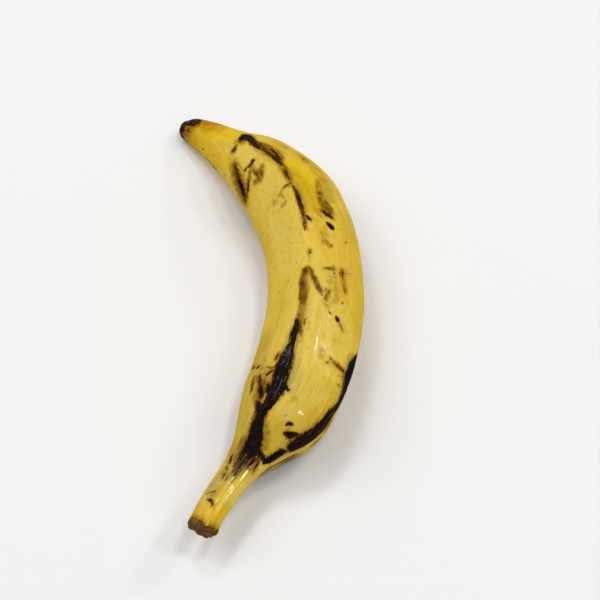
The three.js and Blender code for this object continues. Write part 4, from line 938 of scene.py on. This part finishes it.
mat = bpy.data.materials.new("peel")
N = Nodes(mat)
K_, N_, M_, S_ = N.field("edges")
O_, Y_, olive_and_painted_shade, T_ = N.field("tints")
D_, G_, V_, L_ = N.field("stains")
cream_and_painted_light, F_, R_, H_ = N.field("finish_and_painted_light")
flow_node = N.new("ShaderNodeAttribute", attribute_name="flow", attribute_type="GEOMETRY")
F = flow_node.outputs["Vector"]
Z = N.new("ShaderNodeAttribute", attribute_name="strands", attribute_type="GEOMETRY").outputs["Vector"]
split = N.new("ShaderNodeSeparateXYZ")
N.link(F, split.inputs[0])

# noises, all on the straightened fruit in mm
broad = N.noise(N.scaled(F, 1 / 34, 1 / 18, 1 / 18), detail=2)
blotch = N.noise(N.scaled(F, 1 / 9, 1 / 6, 1 / 6, 3.1), detail=3, rough=.55)
mottle = N.noise(N.scaled(F, 1 / 4.2, 1 / 2.4, 1 / 2.4, 15.1), detail=4, rough=.62)
fibre = N.noise(N.scaled(Z, 1 / 24, 1 / .56, 1 / .56, 7.7), detail=4, rough=.6)
vein = N.noise(N.scaled(Z, 1 / 60, 1 / 1.45, 1 / 1.45, 27.7), detail=3, rough=.55)
streak = N.noise(N.scaled(F, 1 / 8, 1 / .8, 1 / .8, 1.7), detail=4, rough=.62)
grain = N.noise(N.scaled(F, 1 / .9, 1 / .6, 1 / .6, 9.1), detail=3, rough=.65)
ragged = N.noise(N.scaled(F, 1 / 1.5, 1 / .9, 1 / .9, 4.4), detail=4, rough=.64)
patch = N.noise(N.scaled(F, 1 / 2.8, 1 / 1.6, 1 / 1.6, 12.4), detail=4, rough=.62)
reed = N.noise(N.scaled(Z, 1 / 17, 1 / .85, 1 / .85, 22.3), detail=2, rough=.5)
hair = N.noise(N.scaled(Z, 1 / 15, 1 / .6, 1 / .6, 41.9), detail=2, rough=.55)


def centred(x, amp):
    return N.math("MULTIPLY", N.math("SUBTRACT", x, .5), amp)


def torn(d, amp_streak, amp_ragged):
    """An edge distance made uneven along and across the fibres."""
    return N.math("ADD", N.math("ADD", d, centred(streak, amp_streak)), centred(ragged, amp_ragged))


def times(*a):
    out = a[0]
    for x in a[1:]:
        out = N.math("MULTIPLY", out, x)
    return out


# the brown of the two ends comes a little over their edges
cut_ = N.step(N.math("ADD", split.outputs[0], centred(patch, 2.4)), LENGTH - .75, LENGTH - .15)
tip_ = N.step(N.math("ADD", split.outputs[0], centred(patch, 3.0)), .95, .15)

# ground colour of the peel
col = N.mix(N.step(broad, .36, .64), lin(211, 175, 46), lin(218, 186, 60))
col = N.mix(N.step(blotch, .44, .70, 0, .50), col, lin(203, 163, 40))
col = N.mix(N.step(mottle, .52, .74, 0, .36), col, lin(226, 200, 88))
col = N.mix(N.step(mottle, .46, .28, 0, .40), col, lin(196, 154, 34))
col = N.mix(Y_, col, lin(222, 183, 20))
col = N.mix(N.step(vein, .52, .72, 0, .30), col, lin(190, 150, 36))
col = N.mix(N.step(fibre, .53, .72, 0, .30), col, lin(184, 144, 36))
col = N.mix(N.step(fibre, .45, .28, 0, .30), col, lin(230, 206, 98))
col = N.mix(N.step(grain, .52, .78, 0, .20), col, lin(232, 210, 110))
# cream tone: partly the peel's own paler colour, partly painted sheen and painted light laid by the P strokes
col = N.mix(times(cream_and_painted_light, N.step(mottle, .30, .62, .45, 1.0)), col, lin(226, 197, 93))
col = N.mix(1.0, col, (1.0, .988, .92, 1.0), "MULTIPLY")
# fine tan freckles, here and there
freck = N.voronoi(N.scaled(F, 1 / 5.2, 1 / 4.2, 1 / 4.2, 2.2))
dot = N.step(freck.outputs["Distance"], .085, .045)
dot = times(dot, N.step(N.noise(N.scaled(F, 1 / 19, 1 / 12, 1 / 12, 5.5), detail=1), .47, .60))
col = N.mix(times(dot, .75), col, lin(112, 70, 16))
fleck = N.voronoi(N.scaled(F, 1 / 2.6, 1 / 2.1, 1 / 2.1, 31.2))
fd = N.math("ADD", fleck.outputs["Distance"], centred(ragged, .30))
fd = N.math("SUBTRACT", fd, times(F_, .24))
col = N.mix(times(N.step(fd, .14, -.02), .45), col, lin(150, 104, 26))
col = N.mix(times(N.step(fd, .06, -.04), .85), col, lin(78, 46, 14))
# tints
col = N.mix(times(G_, N.step(blotch, .25, .60, .45, 1.0)), col, lin(186, 128, 8))
# olive: a real stain on the neck, and painted shade on the lower inner face toward the neck
col = N.mix(times(olive_and_painted_shade, N.step(fibre, .35, .62, .35, .9)), col, lin(104, 90, 30))
col = N.mix(times(V_, N.step(fibre, .3, .65, .4, .9)), col, lin(170, 142, 74))
col = N.mix(times(O_, N.step(patch, .34, .60, .38, 1.0)), col, lin(150, 104, 14))
col = N.mix(times(D_, N.step(patch, .30, .62, .34, 1.0)), col, lin(92, 58, 8))
# bruises: a yellow-brown margin, a brown rim and a darker middle
mm = torn(M_, 2.6, 3.0)
m = times(N.step(mm, .7, -.7), N.step(patch, .30, .55, .62, 1.0))
col = N.mix(times(N.step(mm, 1.5, .1), N.step(mottle, .35, .60, .1, .45)), col, lin(168, 124, 30))
col = N.mix(m, col, N.mix(N.step(blotch, .40, .62), lin(90, 54, 5), lin(121, 79, 12)))
col = N.mix(L_, col, lin(172, 132, 48))
nn = torn(N_, 2.8, 3.0)
n = N.step(nn, .38, -.38)
col = N.mix(times(N.step(nn, 1.7, .1), N.step(mottle, .35, .60, .15, .60)), col, lin(142, 98, 22))
col = N.mix(n, col, N.mix(N.step(patch, .38, .62), lin(42, 22, 4), lin(76, 45, 10)))
ss = torn(S_, .7, 1.4)
s = N.step(ss, .22, -.22)
pit = N.step(ss, -.35, -.75)
col = N.mix(times(N.step(ss, .7, .0), .40), col, lin(128, 84, 20))
col = N.mix(s, col, lin(58, 32, 4))
col = N.mix(pit, col, lin(24, 12, 6))
whole = N.math("MAXIMUM", N.math("SUBTRACT", 1.0, times(T_, 2.0)), 0.0)
kq = N.math("ADD", N.math("ADD", K_, times(centred(streak, 4.2), N.math("ADD", times(whole, .75), .25))),
            times(centred(ragged, 2.0), whole))
kq = N.math("ADD", kq, times(T_, N.math("ADD", centred(reed, 9), centred(hair, 8))))
cut_in = N.math("MAXIMUM", N.math("SUBTRACT", L_, 1.0), 0.0)
kq = N.math("ADD", kq, times(cut_in, 3.0))
kk = N.step(kq, .30, -.30)
col = N.mix(times(N.step(kq, 2.2, .1), N.step(mottle, .34, .62, .15, .70)), col, lin(134, 92, 22))
col = N.mix(N.step(kq, .75, .15, 0, .85), col, lin(66, 42, 14))
dark = N.mix(N.step(patch, .42, .66), lin(20, 14, 13), lin(36, 26, 24))
dark = N.mix(N.step(hair, .56, .72, 0, .55), dark, lin(50, 38, 33))
dark = N.mix(times(N.math("MINIMUM", L_, 1.0), .8, N.step(hair, .40, .58), N.step(streak, .40, .56, .2, 1.0)), dark, lin(108, 84, 58))
col = N.mix(kk, col, dark)
# ends
tipc = N.mix(N.step(grain, .35, .65), lin(30, 19, 12), lin(70, 46, 26))
col = N.mix(tip_, col, tipc)
cutc = N.mix(N.step(patch, .35, .65), lin(78, 52, 24), lin(132, 98, 52))
bundle = N.voronoi(N.scaled(F, 1 / 6, 1 / 1.15, 1 / 1.15, 3.3))
cutc = N.mix(N.step(bundle.outputs["Distance"], .34, .16, 0, .75), cutc, lin(46, 28, 14))
radius = N.new("ShaderNodeVectorMath", operation="LENGTH")
N.link(N.scaled(F, 0, 1, 1), radius.inputs[0])
cutc = N.mix(N.step(N.math("ADD", radius.outputs["Value"], centred(patch, 3.0)), 6.6, 8.2, 0, .75), cutc, lin(50, 31, 14))
col = N.mix(cut_, col, cutc)

# gloss
rough = N.step(blotch, .30, .70, .38, .50)
rough = N.math("ADD", rough, times(m, .08))
rough = N.math("SUBTRACT", rough, times(n, .06))
rough = N.math("ADD", rough, times(kk, .14))
rough = N.math("SUBTRACT", rough, times(N.step(olive_and_painted_shade, .2, .8), .14), clamp=True)
rough = N.math("ADD", rough, times(N.math("MAXIMUM", tip_, cut_), .35), clamp=True)

# fine relief, heights in mm
pores = N.noise(N.scaled(F, 1 / .55, 1 / .45, 1 / .45, 6.1), detail=2)
height = times(fibre, .16)
height = N.math("ADD", height, times(vein, .22))
height = N.math("ADD", height, times(pores, .02))
height = N.math("ADD", height, times(blotch, .12))
cell = N.voronoi(N.scaled(F, 1 / 2.7, 1 / 1.5, 1 / 1.5, 8.8), feature="SMOOTH_F1")
wr = N.math("ADD", times(cell.outputs["Distance"], .85), times(patch, .55))
height = N.math("ADD", height, times(wr, kk, N.math("ADD", times(R_, .85), .25)))
height = N.math("SUBTRACT", height, times(N.math("MAXIMUM", n, s), .06))
height = N.math("ADD", height, times(N.math("MAXIMUM", tip_, cut_), grain, .35))
bump = N.new("ShaderNodeBump")
bump.inputs["Strength"].default_value = 1.0
bump.inputs["Distance"].default_value = MM
N.link(height, bump.inputs["Height"])

bsdf = N.new("ShaderNodeBsdfPrincipled")
N.link(col, bsdf.inputs["Base Color"])
N.link(rough, bsdf.inputs["Roughness"])
N.link(bump.outputs[0], bsdf.inputs["Normal"])
film = N.new("ShaderNodeBump")             # the wet film is smoother than the peel under it
film.inputs["Distance"].default_value = MM
N.link(N.math("ADD", times(N.math("ADD", vein, blotch), .10), times(wr, kk, N.math("ADD", times(R_, .85), .25))),
       film.inputs["Height"])
N.link(film.outputs[0], bsdf.inputs["Coat Normal"])
soaked = N.math("MAXIMUM", N.math("SUBTRACT", H_, 1.0), 0.0)
runs = N.step(N.math("ADD", hair, times(soaked, .4)), .47, .56)
runs = times(runs, N.math("MAXIMUM", N.step(patch, .42, .52), N.step(soaked, .0, .3)))
wet = times(N.math("MINIMUM", H_, 1.0), N.math("MAXIMUM", times(runs, N.math("SUBTRACT", 1.0, kk)),
                                               times(kk, N.step(N.math("ADD", streak, times(soaked, .10)), .55, .62))))
sheen = N.math("SUBTRACT", .075, times(N.math("MAXIMUM", kk, N.math("MAXIMUM", n, m)), .045))
N.link(N.math("ADD", times(wet, N.step(soaked, .0, .3, .66, 1.0)), sheen), bsdf.inputs["Coat Weight"])
bsdf.inputs["IOR"].default_value = 1.45
bsdf.inputs["Specular IOR Level"].default_value = .0
bsdf.inputs["Coat Roughness"].default_value = .12
out = N.new("ShaderNodeOutputMaterial")
N.link(bsdf.outputs[0], out.inputs[0])
me.materials.append(mat)

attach(fruit, "root")
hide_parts("plantain")

# --------------------------------------------------------------------- stage
fm = bpy.data.meshes.new("floor")
R = 2.2
fm.from_pydata([(-R, -R, 0), (R, -R, 0), (R, R, 0), (-R, R, 0)], [], [(0, 1, 2, 3)])
floor = bpy.data.objects.new("floor", fm)
bpy.context.scene.collection.objects.link(floor)
fmat = bpy.data.materials.new("floor")
FN = Nodes(fmat)
fb = FN.new("ShaderNodeBsdfPrincipled")
fb.inputs["Base Color"].default_value = (.86, .86, .86, 1)
fb.inputs["Roughness"].default_value = .6
fb.inputs["Specular IOR Level"].default_value = .2
fo = FN.new("ShaderNodeOutputMaterial")
FN.link(fb.outputs[0], fo.inputs[0])
fm.materials.append(fmat)

world = bpy.data.worlds.new("studio")
bpy.context.scene.world = world
world.use_nodes = True
bg = next(n for n in world.node_tree.nodes if n.type == "BACKGROUND")
bg.inputs[0].default_value = (1.0, .995, .985, 1)
W = world.node_tree                       # a little lighter along the horizon
sky = W.nodes.new("ShaderNodeTexCoord")
high = W.nodes.new("ShaderNodeSeparateXYZ")
W.links.new(sky.outputs["Generated"], high.inputs[0])
level = W.nodes.new("ShaderNodeMapRange")
level.interpolation_type = "SMOOTHSTEP"
W.links.new(high.outputs[2], level.inputs["Value"])
level.inputs["From Min"].default_value = .05
level.inputs["From Max"].default_value = .42
level.inputs["To Min"].default_value = .58
level.inputs["To Max"].default_value = .26
W.links.new(level.outputs["Result"], bg.inputs[1])


def lamp(name, where, size, power, colour=(1, 1, 1), aim=(0, 0, .02), size_y=None):
    data = bpy.data.lights.new(name, "AREA")
    data.energy = power
    data.color = colour
    data.size = size
    if size_y:
        data.shape = "RECTANGLE"
        data.size_y = size_y
    ob = bpy.data.objects.new(name, data)
    bpy.context.scene.collection.objects.link(ob)
    ob.location = where
    ob.rotation_euler = (Vector(aim) - Vector(where)).to_track_quat("-Z", "Y").to_euler()
    return ob


def toward(az, el, far):
    a, b = math.radians(az), math.radians(el)
    return (far * math.cos(b) * math.sin(a), far * math.cos(b) * math.cos(a), far * math.sin(b))


lamp("left_key", toward(-80, 57, 3.3), 2.4, 36.8, (1, .99, .97))
lamp("right_key", toward(63, 69, 3.0), .45, 12.8, (1, .995, .98))
lamp("side_glint", toward(58, 35, 3.0), .34, 8.0)
lamp("back_glint", toward(-8, 61, 3.0), .34, 7.4)
lamp("back_glint_2", toward(-40, 66, 3.0), .48, 9.6)
lamp("front_glint", toward(146, 65, 3.0), .14, 3.6)
lamp("neck_glint", toward(86, 53, 3.0), .34, 10.2, size_y=.56)
lamp("neck_glint_2", toward(118, 75, 3.0), .28, 3.8)

camera_data = bpy.data.cameras.new("camera")
camera_data.lens = 80
camera_data.sensor_width = 36
camera_data.clip_start = .01
camera_data.clip_end = 20
camera = bpy.data.objects.new("camera", camera_data)
bpy.context.scene.collection.objects.link(camera)
target = Vector(((0 + SHIFT[0]) * MM, (0 + SHIFT[1]) * MM, .024))
eye = target + Vector((0, -math.cos(math.radians(60)), math.sin(math.radians(60)))) * .7
camera.location = eye
camera.rotation_euler = (target - eye).to_track_quat("-Z", "Y").to_euler()
bpy.context.scene.camera = camera

bpy.context.scene.view_settings.view_transform = "Standard"
bpy.context.scene.view_settings.look = "None"
